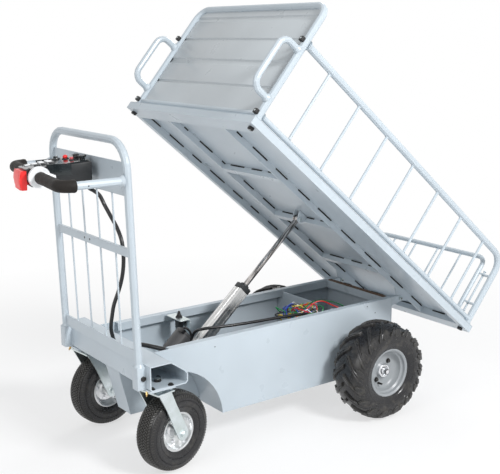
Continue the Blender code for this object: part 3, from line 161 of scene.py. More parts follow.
class StudioSettings(bpy.types.PropertyGroup):
    """Camera, floor and lamps."""
    eye: FloatVectorProperty(name="Camera place", description="Where the camera stands, from the cross channel",
        subtype="TRANSLATION", size=3, default=(-1.3715, -2.7157, 1.4055))
    lens: FloatProperty(name="Lens", description="Focal length on a 36 mm wide sensor",
        subtype="DISTANCE_CAMERA", min=20, max=200, default=67.81)
    key: FloatProperty(name="Key lamp", description="Strength of the large lamp over the handle end",
        unit="POWER", min=0, max=1000, default=165)
    fill: FloatProperty(name="Fill lamp", description="Strength of the lamp on the right", unit="POWER",
        min=0, max=1000, default=32)
    sky: FloatProperty(name="Sky", description="Strength of the light from all round", min=0, max=2, default=0.44)
    floor: FloatVectorProperty(name="Floor", description="Floor and backdrop", subtype="COLOR", size=3,
        min=0, max=1, default=(0.93, 0.93, 0.935))


# Materials

def lay(tree, kind, inputs=(), **settings):
    """Lays down a shader node, sets its inputs or links them."""
    made = tree.nodes.new("ShaderNode" + kind)
    for setting, value in settings.items():
        setattr(made, setting, value)
    for key, value in dict(inputs).items():
        if isinstance(value, bpy.types.NodeSocket):
            tree.links.new(value, made.inputs[key])
        else:
            made.inputs[key].default_value = value
    return made


def backdrop_rays(tree):
    """1 for the rays that show the white backdrop: the camera's, mirrored ones and ones through glass."""
    ray = lay(tree, "LightPath").outputs
    seen = lay(tree, "Math", {0: ray["Is Camera Ray"], 1: ray["Is Glossy Ray"]}, operation="MAXIMUM").outputs[0]
    return lay(tree, "Math", {0: seen, 1: ray["Is Transmission Ray"]}, operation="MAXIMUM").outputs[0]


class Recipe:
    """One material, and the patterns that it is mixed from."""

    def __init__(self, name, colour, roughness, metallic=0.0, **fixed):
        self.material = bpy.data.materials.new(name)
        self.material.use_nodes = True
        self.material.diffuse_color = (*colour, 1.0)
        self.tree = self.material.node_tree
        self.shader = self.tree.nodes["Principled BSDF"]
        self.colour = colour
        self.set("Base Color", (*colour, 1.0))
        self.set("Roughness", roughness)
        self.set("Metallic", metallic)
        for socket, value in fixed.items():
            self.set(socket.replace("_", " "), value)
        self.place = self.node("TexCoord").outputs["Object"]

    def set(self, socket, value):
        if isinstance(value, bpy.types.NodeSocket):
            self.tree.links.new(value, self.shader.inputs[socket])
        else:
            self.shader.inputs[socket].default_value = value

    def node(self, kind, inputs=(), **settings):
        return lay(self.tree, kind, inputs, **settings)

    def noise(self, scale, detail=3.0, place=None, roughness=0.5):
        return self.node("TexNoise", {"Vector": place or self.place, "Scale": scale, "Detail": detail,
                                      "Roughness": roughness}).outputs["Fac"]

    def stretched(self, scale, turn=(0.0, 0.0, 0.0)):
        """Object coordinates turned first and stretched then."""
        turned = self.node("Mapping", {"Vector": self.place, "Rotation": turn}).outputs["Vector"]
        return self.node("Mapping", {"Vector": turned, "Scale": scale}).outputs["Vector"]

    def spread(self, value, low, high, new_low=0.0, new_high=1.0):
        return self.node("MapRange", {"Value": value, "From Min": low, "From Max": high, "To Min": new_low,
                                      "To Max": new_high}).outputs["Result"]

    def mix(self, factor, first, second):
        return self.node("Mix", {0: factor, 6: self.rgba(first), 7: self.rgba(second)}, data_type="RGBA").outputs[2]

    @staticmethod
    def rgba(value):
        return value if isinstance(value, bpy.types.NodeSocket) else (*value, 1.0)

    def shaded(self, factor):
        return tuple(min(1.0, channel * factor) for channel in self.colour)

    def bump(self, *layers):
        """Each layer is (height, depth in metres)."""
        normal = None
        for height, depth in layers:
            inputs = {"Height": height, "Strength": 1.0, "Distance": depth}
            if normal:
                inputs["Normal"] = normal
            normal = self.node("Bump", inputs).outputs["Normal"]
        self.set("Normal", normal)
        return self.material


def powder_coat(name, colour):
    """Satin powder coat: orange peel, slow change of tone, and faint rub marks."""
    paint = Recipe(name, colour, 0.30, Specular_IOR_Level=0.55)
    cloud = paint.noise(5.0, 2.0)
    dust = paint.noise(14.0)
    rubs = paint.noise(9.0, 6.0, paint.stretched((1.0, 1.0, 7.0), (0.5, 0.2, 0.3)), 0.65)
    tone = paint.mix(paint.spread(cloud, 0.3, 0.7), paint.shaded(0.955), paint.shaded(1.03))
    marks = paint.spread(rubs, 0.70, 0.82, 0.0, 0.3 * bpy.context.scene.cart_finish.wear)
    paint.set("Base Color", paint.mix(marks, tone, paint.shaded(0.84)))
    paint.set("Roughness", paint.spread(dust, 0.3, 0.7, 0.27, 0.34))
    return paint.bump((paint.noise(420.0, 1.0), 0.000006))


def zinc_plating(name, colour, worn=1.0):
    """Bright zinc: metal with a soft crystal pattern and dull patches; worn is its share of the wear."""
    plate = Recipe(name, colour, 0.30, 1.0)
    crystals = plate.node("TexVoronoi", {"Vector": plate.place, "Scale": 95.0}).outputs["Color"]
    grey = plate.node("RGBToBW", {"Color": crystals}).outputs["Val"]
    dull = plate.noise(24.0, 5.0, None, 0.6)
    shadow = (colour[0] * 0.84, colour[1] * 0.86, colour[2] * 0.82)
    tint = plate.mix(plate.spread(dull, 0.35, 0.7), plate.shaded(1.05), shadow)
    roughest = 0.34 + 0.35 * bpy.context.scene.cart_finish.wear * worn
    plate.set("Base Color", plate.mix(plate.spread(grey, 0.0, 1.0, 0.0, 0.25), tint, plate.shaded(0.82)))
    plate.set("Roughness", plate.spread(dull, 0.3, 0.75, 0.24, roughest))
    return plate.bump((plate.noise(260.0), 0.0001), (grey, 0.00005))


def turned_metal(name, colour, roughness, grain, turn=(0.0, 0.0, 0.0), grain_and_reflection_streaks=0.07):
    """Drawn or polished metal with its grain along one direction. The last argument sets how far the tone of the
    streaks goes apart: grain when small, and painted reflections when large, as on chrome.
    """
    metal = Recipe(name, colour, roughness, 1.0)
    grain_and_reflection_lines = metal.noise(1.0, 4.0, metal.stretched(grain, turn), 0.6)
    smear = metal.noise(30.0, 4.0)
    # Streaks in the colour: grain where they lie close in tone, and painted reflections on chrome, where they lie far
    # apart
    tone = metal.mix(metal.spread(grain_and_reflection_lines, 0.40, 0.60), metal.shaded(1 - grain_and_reflection_streaks), metal.shaded(1 + grain_and_reflection_streaks))
    metal.set("Base Color", tone)
    metal.set("Roughness", metal.spread(smear, 0.3, 0.7, roughness * 0.75, roughness * 1.35))
    return metal.bump((grain_and_reflection_lines, 0.00004))


def tyre_rubber(name, colour):
    """Moulded rubber with a little dust, and a painted highlight: paler colour on the corners of its tread."""
    rubber = Recipe(name, colour, 0.34, Specular_IOR_Level=0.50)
    dust = rubber.noise(26.0, 6.0, None, 0.65)
    # Painted highlight: paler colour where the mesh is pointed, on the corners of the lugs and blocks
    painted_corner_highlight = rubber.spread(rubber.node("NewGeometry").outputs["Pointiness"], 0.52, 0.61, 0.0, 0.65)
    dusted = rubber.mix(rubber.spread(dust, 0.54, 0.80), colour, (0.070, 0.064, 0.054))
    rubber.set("Base Color", rubber.mix(painted_corner_highlight, dusted, (0.060, 0.058, 0.052)))
    rubber.set("Roughness", rubber.spread(dust, 0.3, 0.7, 0.18, 0.38))
    return rubber.bump((rubber.noise(420.0), 0.00007), (dust, 0.00025))


def moulded_plastic(name, colour, roughness, grain=700.0, depth=0.00008, lacquer=0.0):
    """Injection moulded plastic with a fine spark-eroded grain."""
    plastic = Recipe(name, colour, roughness, Coat_Weight=lacquer)
    cloud = plastic.noise(40.0, 4.0)
    tone = plastic.mix(plastic.spread(cloud, 0.3, 0.7), plastic.shaded(0.9), plastic.shaded(1.12))
    plastic.set("Base Color", tone)
    plastic.set("Roughness", plastic.spread(cloud, 0.3, 0.7, roughness * 0.85, min(1.0, roughness * 1.2)))
    return plastic.bump((plastic.noise(grain, 2.0), depth))


def foam_grip(name, colour):
    """Closed-cell foam sleeve: matt with fine pores."""
    foam = Recipe(name, colour, 0.70, Specular_IOR_Level=0.22)
    pores = foam.node("TexVoronoi", {"Vector": foam.place, "Scale": 750.0}).outputs["Distance"]
    rub = foam.noise(35.0, 4.0)
    foam.set("Base Color", foam.mix(foam.spread(rub, 0.35, 0.7), colour, (0.020, 0.017, 0.015)))
    foam.set("Roughness", foam.spread(rub, 0.3, 0.7, 0.52, 0.74))
    return foam.bump((pores, 0.0003))


def floor_paint(name, colour):
    """Pale floor that goes over into the white backdrop away from the cart."""
    floor = Recipe(name, colour, 0.9, Specular_IOR_Level=0.1)
    far = floor.node("VectorMath", {0: floor.place}, operation="LENGTH").outputs["Value"]
    floor.set("Base Color", floor.mix(floor.noise(2.5), floor.shaded(0.995), floor.shaded(1.0)))
    white = floor.node("Emission", {"Color": (1.0, 1.0, 1.0, 1.0), "Strength": 1.0}).outputs[0]
    share = {0: floor.spread(far, 1.1, 2.6, 0.62, 1.0), 1: backdrop_rays(floor.tree)}
    share = floor.node("Math", share, operation="MULTIPLY").outputs[0]
    both = floor.node("MixShader", {0: share, 1: floor.shader.outputs[0], 2: white}).outputs[0]
    floor.tree.links.new(both, floor.tree.nodes["Material Output"].inputs["Surface"])
    return floor.material


# Plastics: colour or the setting that holds it, roughness, grain, depth of the grain, lacquer
PLASTICS = {
    "black_plastic": ((0.014, 0.016, 0.018), 0.38),
    "battery_case": ((0.022, 0.023, 0.026), 0.5, 300.0),
    "cable_jacket": ((0.010, 0.010, 0.011), 0.32, 400.0),
    "red_plastic": ("pad", 0.30, 500.0, 0.00002),
    "blackened_steel": ((0.012, 0.011, 0.010), 0.42, 500.0, 0.0001),
    "black_gloss": ((0.012, 0.017, 0.019), 0.16, 300.0, 0.00002, 0.25),
    "black_rubber": ((0.014, 0.014, 0.015), 0.62, 600.0, 0.0001),
    "pale_plastic": ((0.86, 0.875, 0.89), 0.32, 500.0, 0.00004),
    "pink_plastic": ((0.62, 0.13, 0.14), 0.34, 500.0, 0.00004),
    "cork_strip": ((0.135, 0.085, 0.052), 0.75, 260.0, 0.0002),
    "wire_red": ((0.62, 0.012, 0.014), 0.36),
    "wire_green": ((0.010, 0.230, 0.060), 0.36),
    "wire_black": ((0.012, 0.012, 0.013), 0.36),
    "wire_yellow": ((0.70, 0.50, 0.02), 0.36),
    "wire_blue": ((0.015, 0.060, 0.420), 0.36),
    "wire_white": ((0.75, 0.75, 0.73), 0.36),
    # Painted shade: a near-black stand-in for the shade in weld gaps and holes
    "open_gap": ((0.004, 0.004, 0.004), 0.9, 200.0),
}
# Each finish: how it is made, its colour or the setting that holds it, and what else it takes
ALONG_RAM = (0.0, -0.727, 0.0)
FINISHES = {
    "powder_coat": (powder_coat, "paint"),
    "panel_coat": (powder_coat, (0.52, 0.56, 0.585)),
    "rim_coat": (powder_coat, (0.30, 0.32, 0.335)),
    "motor_coat": (powder_coat, (0.060, 0.060, 0.062)),
    "zinc_plating": (zinc_plating, "zinc"),
    "caster_rim_coat": (zinc_plating, (0.74, 0.75, 0.77), 0.5),
    # Chrome: its dark and bright streaks, far apart in tone, are painted reflections
    "chrome": (turned_metal, (0.40, 0.38, 0.37), 0.12, (150, 150, 2), ALONG_RAM, 0.75),
    "drawn_aluminium": (turned_metal, (0.60, 0.60, 0.595), 0.26, (400, 400, 4), ALONG_RAM, 0.04),
    "cast_aluminium": (turned_metal, (0.42, 0.43, 0.44), 0.5, (140, 140, 140)),
    "brass": (turned_metal, (0.62, 0.42, 0.18), 0.30, (160, 160, 160)),
    "polished_steel": (turned_metal, (0.80, 0.81, 0.83), 0.20, (120, 120, 120)),
    "tyre_rubber": (tyre_rubber, "rubber"),
    "foam_grip": (foam_grip, (0.012, 0.010, 0.009)),
    "floor_paint": (floor_paint, "floor"),
    **{name: (moulded_plastic, *rest) for name, rest in PLASTICS.items()},
}
SHELF = {}


def finish(name):
    """The material of that name, made once from the cart's settings."""
    if name not in SHELF:
        maker, colour, *rest = FINISHES[name]
        if isinstance(colour, str):
            scene = bpy.context.scene
            colour = tuple(getattr(scene.cart_studio if colour == "floor" else scene.cart_finish, colour))
        SHELF[name] = maker(name, colour, *rest)
    return SHELF[name]


# Shaping

def piece(name, shapes, material, body, at=CART, replaces=(), smooth=35.0):
    """Makes a piece, written in the frame at, that rides on its body.

    shapes is a mesh under way, or a list of shaping functions, each with what it takes.
    """
    bm = shapes
    if isinstance(shapes, list):
        bm = bmesh.new()
        for shape, *given in shapes:
            shape(bm, *given)
    bmesh.ops.transform(bm, matrix=at, verts=bm.verts)
    bmesh.ops.recalc_face_normals(bm, faces=bm.faces)
    mesh = bpy.data.meshes.new(name)
    bm.to_mesh(mesh)
    bm.free()
    made = bpy.data.objects.new(name, mesh)
    bpy.context.scene.collection.objects.link(made)
    mesh.materials.append(finish(material))
    for polygon in mesh.polygons:
        polygon.use_smooth = True
    mesh.set_sharp_from_angle(angle=math.radians(smooth))
    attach(made, body)
    if replaces:
        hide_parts(*replaces)
    return made


def coat(material, names):
    """Gives CAD nodes their finish."""
    for name in names.split():
        slots = NODES[name].data.materials
        slots.clear()
        slots.append(finish(material))


def facing(centre, axis, about=0.0):
    """Matrix that takes the Z axis to the given direction at a place."""
    turn = Vector((0, 0, 1)).rotation_difference(Vector(axis).normalized()).to_matrix().to_4x4()
    return Matrix.Translation(centre) @ turn @ Matrix.Rotation(about, 4, "Z")


def turned(degrees):
    return Matrix.Rotation(math.radians(degrees), 4, "Z")


ALONG_X = facing((0, 0, 0), (1, 0, 0))


def vertices(geometry):
    return [item for item in geometry if isinstance(item, bmesh.types.BMVert)]


def linked(verts, kind):
    """The edges or faces at the vertices, each once and always in the same order."""
    return list(dict.fromkeys(item for vert in verts for item in getattr(vert, "link_" + kind)))


def lathe(bm, outline, steps, at=None):
    """Spins (radius, along) points about Z into a ring, or into a solid if the outline starts on the axis."""
    verts = [bm.verts.new((radius, 0.0, along)) for radius, along in outline]
    edges = [bm.edges.new(pair) for pair in zip(verts, verts[1:])]
    if outline[0][0]:
        edges.append(bm.edges.new((verts[-1], verts[0])))
    before = set(bm.verts) - set(verts)
    bmesh.ops.spin(bm, geom=verts + edges, cent=(0, 0, 0), axis=(0, 0, 1), angle=math.tau, steps=steps,
                   use_merge=True)
    made = [vert for vert in bm.verts if vert not in before]
    bmesh.ops.remove_doubles(bm, verts=made, dist=0.00002)
    if at:
        bmesh.ops.transform(bm, matrix=at, verts=[vert for vert in bm.verts if vert not in before])


def offsets(radius, along, *steps):
    """Points of an outline, each a step from the same corner."""
    return [(radius + out, along + up) for out, up in steps]


def mirrored(outline):
    """The outline and its mirror image across the middle, in reverse."""
    return [(radius, -along) for radius, along in reversed(outline)]


def block(bm, low, high, bevel=0.0, turn=None, segments=2):
    """Box between two corners with its edges rounded."""
    low, high = Vector(low), Vector(high)
    made = bmesh.ops.create_cube(bm, size=1.0)["verts"]
    matrix = Matrix.Translation((low + high) / 2) @ Matrix.Diagonal((*(high - low), 1.0))
    bmesh.ops.transform(bm, matrix=(turn or Matrix()) @ matrix, verts=made)
    if bevel:
        bmesh.ops.bevel(bm, geom=linked(made, "edges"), offset=bevel, offset_type="OFFSET", segments=segments,
                        profile=0.5, affect="EDGES", material=-1)


def bar(bm, start, end, radius, sides=16, end_radius=None):
    """Round bar between two points."""
    start, way = Vector(start), Vector(end) - Vector(start)
    at = facing(start, way) @ moved(0, 0, way.length / 2)
    bmesh.ops.create_cone(bm, cap_ends=True, segments=sides, radius1=radius,
                          radius2=radius if end_radius is None else end_radius, depth=way.length, matrix=at)


def collar(bm, place, axis, radius):
    """Fillet of weld round the foot of a bar; axis points up the bar."""
    bar(bm, place, Vector(place) + Vector(axis) * radius * 0.8, radius * 1.42, 16, radius * 1.02)


def hex_bolt(bm, at, radius, height, washer=True):
    """Hexagon head with chamfered corners on a washer; at takes +Z outwards from the surface."""
    foot = 0.0
    if washer:
        foot = 0.0014
        bmesh.ops.create_cone(bm, cap_ends=True, segments=20, radius1=radius * 1.45, radius2=radius * 1.40,
                              depth=foot, matrix=at @ moved(0, 0, foot / 2))
    head = bmesh.ops.create_cone(bm, cap_ends=True, segments=6, radius1=radius, radius2=radius, depth=height,
                                 matrix=at @ moved(0, 0, foot + height / 2))["verts"]
    top = at @ Vector((0, 0, foot + height))
    rim = [edge for edge in linked(head, "edges")
           if all((vert.co - top).length < radius * 1.05 for vert in edge.verts)]
    bmesh.ops.bevel(bm, geom=rim, offset=height * 0.18, segments=1, profile=0.5, affect="EDGES", material=-1)


def run(points, steps=5):
    """A smooth line through the points."""
    points = [Vector(point) for point in points]
    ends = [2 * points[0] - points[1], *points, 2 * points[-1] - points[-2]]
    line = []
    for a, b, c, d in zip(ends, ends[1:], ends[2:], ends[3:]):
        for step in range(steps):
            t = step / steps
            line.append(0.5 * (2 * b + (c - a) * t + (2 * a - 5 * b + 4 * c - d) * t * t +
                               (3 * b - a - 3 * c + d) * t ** 3))
    return line + [points[-1]]


def bent(points, radius, steps):
    """A line with its corners bent to a radius."""
    points = [Vector(point) for point in points]
    line = [points[0]]
    for before, corner, after in zip(points, points[1:], points[2:]):
        enter, leave = (before - corner).normalized(), (after - corner).normalized()
        half = enter.angle(leave) / 2
        middle = corner + (enter + leave).normalized() * radius / math.sin(half)
        first = corner + enter * radius / math.tan(half) - middle
        last = corner + leave * radius / math.tan(half) - middle
        line += [middle + first.slerp(last, step / steps).normalized() * radius for step in range(steps + 1)]
    return line + [points[-1]]


def sweep(bm, line, radius, sides=10, swell=None):
    """Draws a ring along a line; swell gives its size at each point as a share of the radius."""
    line = [Vector(point) for point in line]
    sizes = [swell(i / (len(line) - 1)) for i in range(len(line))] if swell else [1.0] * len(line)
    heading = (line[1] - line[0]).normalized()
    made = bmesh.ops.create_circle(bm, cap_ends=False, radius=radius * sizes[0], segments=sides,
                                   matrix=facing(line[0], heading))["verts"]
    first = ring = linked(made, "edges")
    for i in range(1, len(line)):
        ahead = (line[min(i + 1, len(line) - 1)] - line[i - 1]).normalized()
        drawn = bmesh.ops.extrude_edge_only(bm, edges=ring)["geom"]
        verts = vertices(drawn)
        chosen = set(verts)
        ring = [item for item in drawn if isinstance(item, bmesh.types.BMEdge) and chosen.issuperset(item.verts)]
        turn = heading.rotation_difference(ahead).to_matrix().to_4x4()
        size = Matrix.Scale(sizes[i] / sizes[i - 1], 4)
        bmesh.ops.transform(bm, matrix=Matrix.Translation(line[i]) @ turn @ size @ Matrix.Translation(-line[i - 1]),
                            verts=verts)
        heading = ahead
    bmesh.ops.edgeloop_fill(bm, edges=first)
    bmesh.ops.edgeloop_fill(bm, edges=ring)


def weld(bm, start, length, radius):
    """Straight run of weld, from a point and along one of the axes."""
    sweep(bm, [start, Vector(start) + Vector(length)], radius, WELD_SIDES)


def soften(made, width, angle, segments):
    """Rounds the sharp edges of an object."""
    bevel = made.modifiers.new("rounded edges", "BEVEL")
    bevel.width, bevel.segments, bevel.limit_method = width, segments, "ANGLE"
    bevel.angle_limit = math.radians(angle)


def softened(names, width, body, material, segments=2):
    """Copies of folded CAD parts with their sharp edges rounded, shown in their place."""
    for name in names.split():
        bm = bmesh.new()
        bm.from_mesh(NODES[name].data)
        bmesh.ops.remove_doubles(bm, verts=bm.verts, dist=0.00002)
        bmesh.ops.dissolve_limit(bm, angle_limit=math.radians(1.0), verts=bm.verts, edges=bm.edges)
        made = piece(name + "_finished", bm, material, body, Matrix(), (name,))
        soften(made, width, 40.0, segments)


# Operators

class CART_OT_stage(bpy.types.Operator):
    """Set up the camera, the pale floor, the white backdrop and the lamps"""
    bl_idname = "cart.stage"
    bl_label = "Stage"
    bl_options = {"REGISTER", "UNDO"}

    def execute(self, context):
        scene, studio = context.scene, context.scene.cart_studio
        ahead = Vector((0.57505, 0.79009, -0.21232)).normalized()
        side = ahead.cross(Vector((0, 0, 1))).normalized()
        up = side.cross(ahead)
        roll = -0.0058
        right = math.cos(roll) * side + math.sin(roll) * up
        over = -math.sin(roll) * side + math.cos(roll) * up
        camera = bpy.data.objects.new("camera", bpy.data.cameras.new("camera"))
        camera.data.lens, camera.data.sensor_width, camera.data.sensor_fit = studio.lens, 36.0, "HORIZONTAL"
        camera.matrix_world = (CART @ Matrix.Translation(studio.eye) @
                               Matrix((right, over, -ahead)).transposed().to_4x4())
        scene.collection.objects.link(camera)
        scene.camera = camera

        bm = bmesh.new()
        bmesh.ops.create_circle(bm, cap_ends=True, radius=9.0, segments=64)
        mesh = bpy.data.meshes.new("floor")
        bm.to_mesh(mesh)
        bm.free()
        mesh.materials.append(finish("floor_paint"))
        floor = bpy.data.objects.new("floor", mesh)
        scene.collection.objects.link(floor)

        world = bpy.data.worlds.new("backdrop")
        world.use_nodes = True
        tree = world.node_tree
        tree.nodes.clear()
        sky = lay(tree, "Background", {"Color": (0.97, 0.985, 1.0, 1.0), "Strength": studio.sky}).outputs[0]
        white = lay(tree, "Background", {"Color": (1.0, 1.0, 1.0, 1.0)}).outputs[0]
        both = lay(tree, "MixShader", {0: backdrop_rays(tree), 1: sky, 2: white}).outputs[0]
        lay(tree, "OutputWorld", {"Surface": both})
        scene.world = world
        scene.view_settings.view_transform = "Standard"

        for name, place, size, power in (("key", (0.3, -3.8, 3.2), 1.0, studio.key),
                                         ("fill", (-3.4, -1.0, 2.4), 1.8, studio.fill),
                                         ("rim", (2.6, 2.2, 2.8), 1.6, studio.fill)):
            lamp = bpy.data.lights.new(name, "AREA")
            lamp.shape, lamp.size, lamp.energy = "SQUARE", size, power
            made = bpy.data.objects.new(name, lamp)
            made.matrix_world = facing(place, Vector(place) - Vector((0, 0, 0.6)))
            scene.collection.objects.link(made)
        return {"FINISHED"}


class CART_OT_steelwork(bpy.types.Operator):
    """Finish the folded and welded steel parts, with their edges rounded"""
    bl_idname = "cart.steelwork"
    bl_label = "Steelwork"
    bl_options = {"REGISTER", "UNDO"}

    def execute(self, context):
        softened("front_channel tub_side_left tub_side_right tub_floor tub_rear_wall tub_keel tub_partition "
                 "post_sleeve_left post_sleeve_right", 0.0011, "chassis", "powder_coat")
        softened("deck_sheet deck_underframe", 0.0011, "deck", "powder_coat")
        softened("headboard_panel", 0.0008, "deck", "panel_coat")
        for tag in ("left", "right"):
            softened("caster_fork_" + tag, 0.0006, "caster_" + tag, "zinc_plating")
        softened("switch_post actuator_bracket", 0.0005, "chassis", "zinc_plating")
        coat("powder_coat", "control_bar handle_frame handle_infill handle_lower_bar handle_plate "
             "headboard_handle_left headboard_handle_right headboard_tube side_guard rear_gate")
        coat("zinc_plating", "clevis_pin hinge_pin_left hinge_pin_right")
        coat("motor_coat", "drive_axle")
        coat("cast_aluminium", "drive_motor")
        softened("battery_left battery_right", 0.0015, "chassis", "battery_case")
        softened("motor_controller", 0.0006, "chassis", "cast_aluminium")

        bolts, welds, nipples, nuts = [], [], [], []
        # Near-black discs: painted shade in the bores through the tub's sides and the hinge ears
        bore_shade_discs = [(bar, (x, -0.1888, z), (x, -TUB_SKIN, z), 0.0022, 12)
                 for x, z in ((1.018, 0.382), (0.318, 0.366), (1.06, 0.35))]
        for side in SIDES:
            left = side > 0
            bolts += [(hex_bolt, moved(x, side * y, 0.3165), 0.0068, 0.005)
                      for x in (0.012, 0.08) for y in (0.213, 0.291)]
            bolts.append((hex_bolt, facing((-0.0105, side * 0.2756, 0.356 if left else 0.352), (0, side, 0)),
                          0.0088, 0.006, False))
            foot = 0.32 if left else 0.316
            welds += [(weld, (-0.0006, side * POST_Y + edge * 0.0172, foot), (0, 0, 0.072), 0.0016)
                      for edge in SIDES]
            welds += [(collar, (-0.0146, side * POST_Y, 0.392 if left else 0.388), (0, 0, 1), 0.0129),
                      (weld, (0.14, side * TUB_SKIN, 0.318), (0, 0, 0.034), 0.0013),
                      (weld, (1.1462, side * TUB_SKIN, 0.125), (0, 0, 0.267), 0.0013)]
            elbow = (0.0005, side * 0.276, 0.297)
            nipples += [(bar, (0.004, side * 0.272, 0.306), elbow, 0.0042, 6),
                        (bar, elbow, (-0.0015, side * 0.278, 0.292), 0.0022, 10)]
            for way in SIDES:
                x, y, z = HINGE.x, side * EAR_Y, HINGE.z
                nuts.append((hex_bolt, facing((x, y + way * 0.0118, z), (0, way, 0)), 0.0078, 0.0032, False))
                bore_shade_discs.append((bar, (x, y + way * 0.0149, z), (x, y + way * 0.0152, z), 0.0036))
        piece("channel_bolts", bolts, "blackened_steel", "chassis")
        piece("frame_welds", welds, "powder_coat", "chassis")
        piece("grease_nipples", nipples, "brass", "chassis")
        for tag in ("left", "right"):
            x, y, z = JOINTS["caster_swivel_" + tag]["pos_m"]
            piece("stem_nut_" + tag, [(hex_bolt, moved(x, y, 0.3172), 0.0122, 0.0112, False)],
                  "blackened_steel", "caster_" + tag, Matrix())
        piece("rear_seal", [(block, (1.1235, -0.163, 0.3951), (1.144, 0.163, 0.3978), 0.0008)],
              "cork_strip", "chassis")
        piece("hinge_nuts", nuts, "zinc_plating", "chassis")
        piece("hinge_bores", bore_shade_discs, "open_gap", "chassis")
        return {"FINISHED"}


def wheel_place(joint):
    """Frame of a wheel: its axle on Z, its middle at the origin."""
    return facing(Vector(JOINTS[joint]["pos_m"]), JOINTS[joint]["axis"])


def wheel_bolt(degrees, reach, height, way, radius, head):
    """Bolt in a wheel's disc, at a distance from the axle and on the side that way gives."""
    at = turned(degrees) @ moved(reach, 0, way * height) @ facing((0, 0, 0), (0, 0, way))
    return (hex_bolt, at, radius, head)


class CART_OT_rear_wheels(bpy.types.Operator):
    """Model the rear wheels: lugged tyres on dished steel rims"""
    bl_idname = "cart.rear_wheels"
    bl_label = "Rear wheels"
    bl_options = {"REGISTER", "UNDO"}

    def execute(self, context):
        sizes = context.scene.cart_rear_tyre
        outer = node_size("rear_tyre_right").z / 2
        half = node_size("rear_tyre_right").y / 2
        rim = node_size("rear_rim_right").z / 2
        crown = outer - sizes.lug_height
        steps = 72

        # (radius, across) of the carcass from the crown to the bead
        side = [(crown, 0.0), (crown - 0.0008, half * 0.40), (crown - 0.005, half * 0.66),
                (crown - 0.015, half * 0.86), (crown - 0.032, half * 0.965), (crown - 0.05, half * 0.985),
                (rim + 0.018, half * 0.93), (rim + 0.011, half * 0.90), (rim + 0.0085, half * 0.865),
                (rim + 0.004, half * 0.845), (rim - 0.001, half * 0.80), (rim - 0.004, half * 0.74)]
        shoulder = 5        # stretches of the carcass that the lugs cover

        def surface(share):
            """Radius and width of the carcass, a share of the way from the crown round the shoulder."""
            place = share * shoulder
            i = min(int(place), shoulder - 1)
            return Vector(side[i]).lerp(Vector(side[i + 1]), place - i)

        def raised(bm, hand, start, shares, widths, lift, sweep_by, groove=0.0):
            """One lug laid along the shares of the carcass, its width and turn given at each of them."""
            lug = bmesh.ops.create_grid(bm, x_segments=4, y_segments=len(shares) - 1, size=1.0)["verts"]
            tops = vertices(bmesh.ops.extrude_face_region(bm, geom=linked(lug, "faces"))["geom"])
            for group, above, flare in ((lug, -0.003, 1.35), (tops, lift, 1.0)):
                for vert in group:
                    k = round((vert.co.y + 1.0) / 2.0 * (len(shares) - 1))
                    share = shares[k]
                    place = surface(share)
                    slope = (surface(min(1.0, share + 0.03)) - surface(max(0.0, share - 0.03))).normalized()
                    dip = groove if above > 0 and abs(vert.co.x) < 0.3 else 0.0
                    lifted = place + Vector((slope.y, -slope.x)) * (above - dip)
                    lifted.x, lifted.y = min(lifted.x, outer), min(lifted.y, half)
                    angle = start + sweep_by * (1.0 - share) ** 1.25 + vert.co.x * flare * widths[k] / 2 / place.x
                    vert.co = (lifted.x * math.cos(angle), lifted.x * math.sin(angle), hand * lifted.y)

        pitch = math.tau / sizes.lugs
        wide, tall = sizes.lug_width, sizes.lug_height
        lip = half * 0.84
        face = lip - sizes.dish
        wall = [*offsets(rim, -lip, (0, 0), (0, 0.004), (-0.006, 0.006), (-0.012, 0.02)),
                (rim - 0.022, -0.02), (rim - 0.024, 0.006),
                *offsets(rim, lip, (-0.014, -0.024), (-0.007, -0.008), (0, -0.005), (0.0012, -0.001), (-0.002, 0),
                         (-0.0075, -0.004), (-0.0095, -0.014), (-0.016, -0.019), (-0.0185, -0.032), (-0.024, -0.038)),
                (rim - 0.03, face), *offsets(0, face, (0.03, 0), (0.026, 0.003), (0.014, 0.003), (0.014, -0.003)),
                *offsets(rim, face, (-0.032, -0.006), (-0.027, -0.01)), (rim - 0.026, -0.022),
                *offsets(rim, -lip, (-0.016, 0.02), (-0.01, 0.004))]
        hub = offsets(0, face, (0.0255, 0.001), (0.0255, 0.011), (0.023, 0.014), (0.019, 0.014), (0.0165, 0.01),
                      (0.015, 0.01), (0.015, 0.001))
        nut = offsets(0, face, (0, 0.001), (0.013, 0.001), (0.013, 0.016), (0.0112, 0.018), (0.0105, 0.025),
                      (0.0075, 0.031), (0, 0.0335))
        for tag, way in (("right", -1), ("left", 1)):
            at, body = wheel_place("rear_spin_" + tag), "rear_wheel_" + tag
            shapes = [(lathe, side + mirrored(side[1:]), steps)]
            for hand in SIDES:
                for i in range(sizes.lugs):
                    start = (i + 0.25 * hand) * pitch
                    shapes += [(raised, hand, start, (0.02, 0.16, 0.30, 0.44, 0.58, 0.70, 0.80),
                                [wide * share for share in (1, 1.05, 1.1, 1.2, 1.35, 1.4, 0.8)],
                                tall, 1.45 * pitch, 0.0022),
                               (raised, hand, start + 0.5 * pitch, (0.46, 0.58, 0.72, 0.84),
                                [wide * share for share in (0.6, 1.5, 1.5, 0.6)], tall * 0.85, 0.9 * pitch),
                               (raised, hand, (i + 0.5) * pitch, (0.93, 0.965, 1.0), (wide, wide, wide * 0.5),
                                0.0012, 0.0)]
            ring = [(rim + 0.03, 0.967), (rim + 0.0285, 0.99), (rim + 0.027, 0.960)]
            shapes.append((lathe, [(r, way * half * share) for r, share in ring], steps))
            tyre = piece("rear_tyre_" + tag + "_lugged", shapes, "tyre_rubber", body, at, ("rear_tyre_" + tag,),
                         28.0)
            soften(tyre, 0.0009, 45.0, 1)
            piece("rear_rim_" + tag + "_dished", [(lathe, [(r, z * way) for r, z in wall], steps)], "rim_coat",
                  body, at, ("rear_rim_" + tag,))

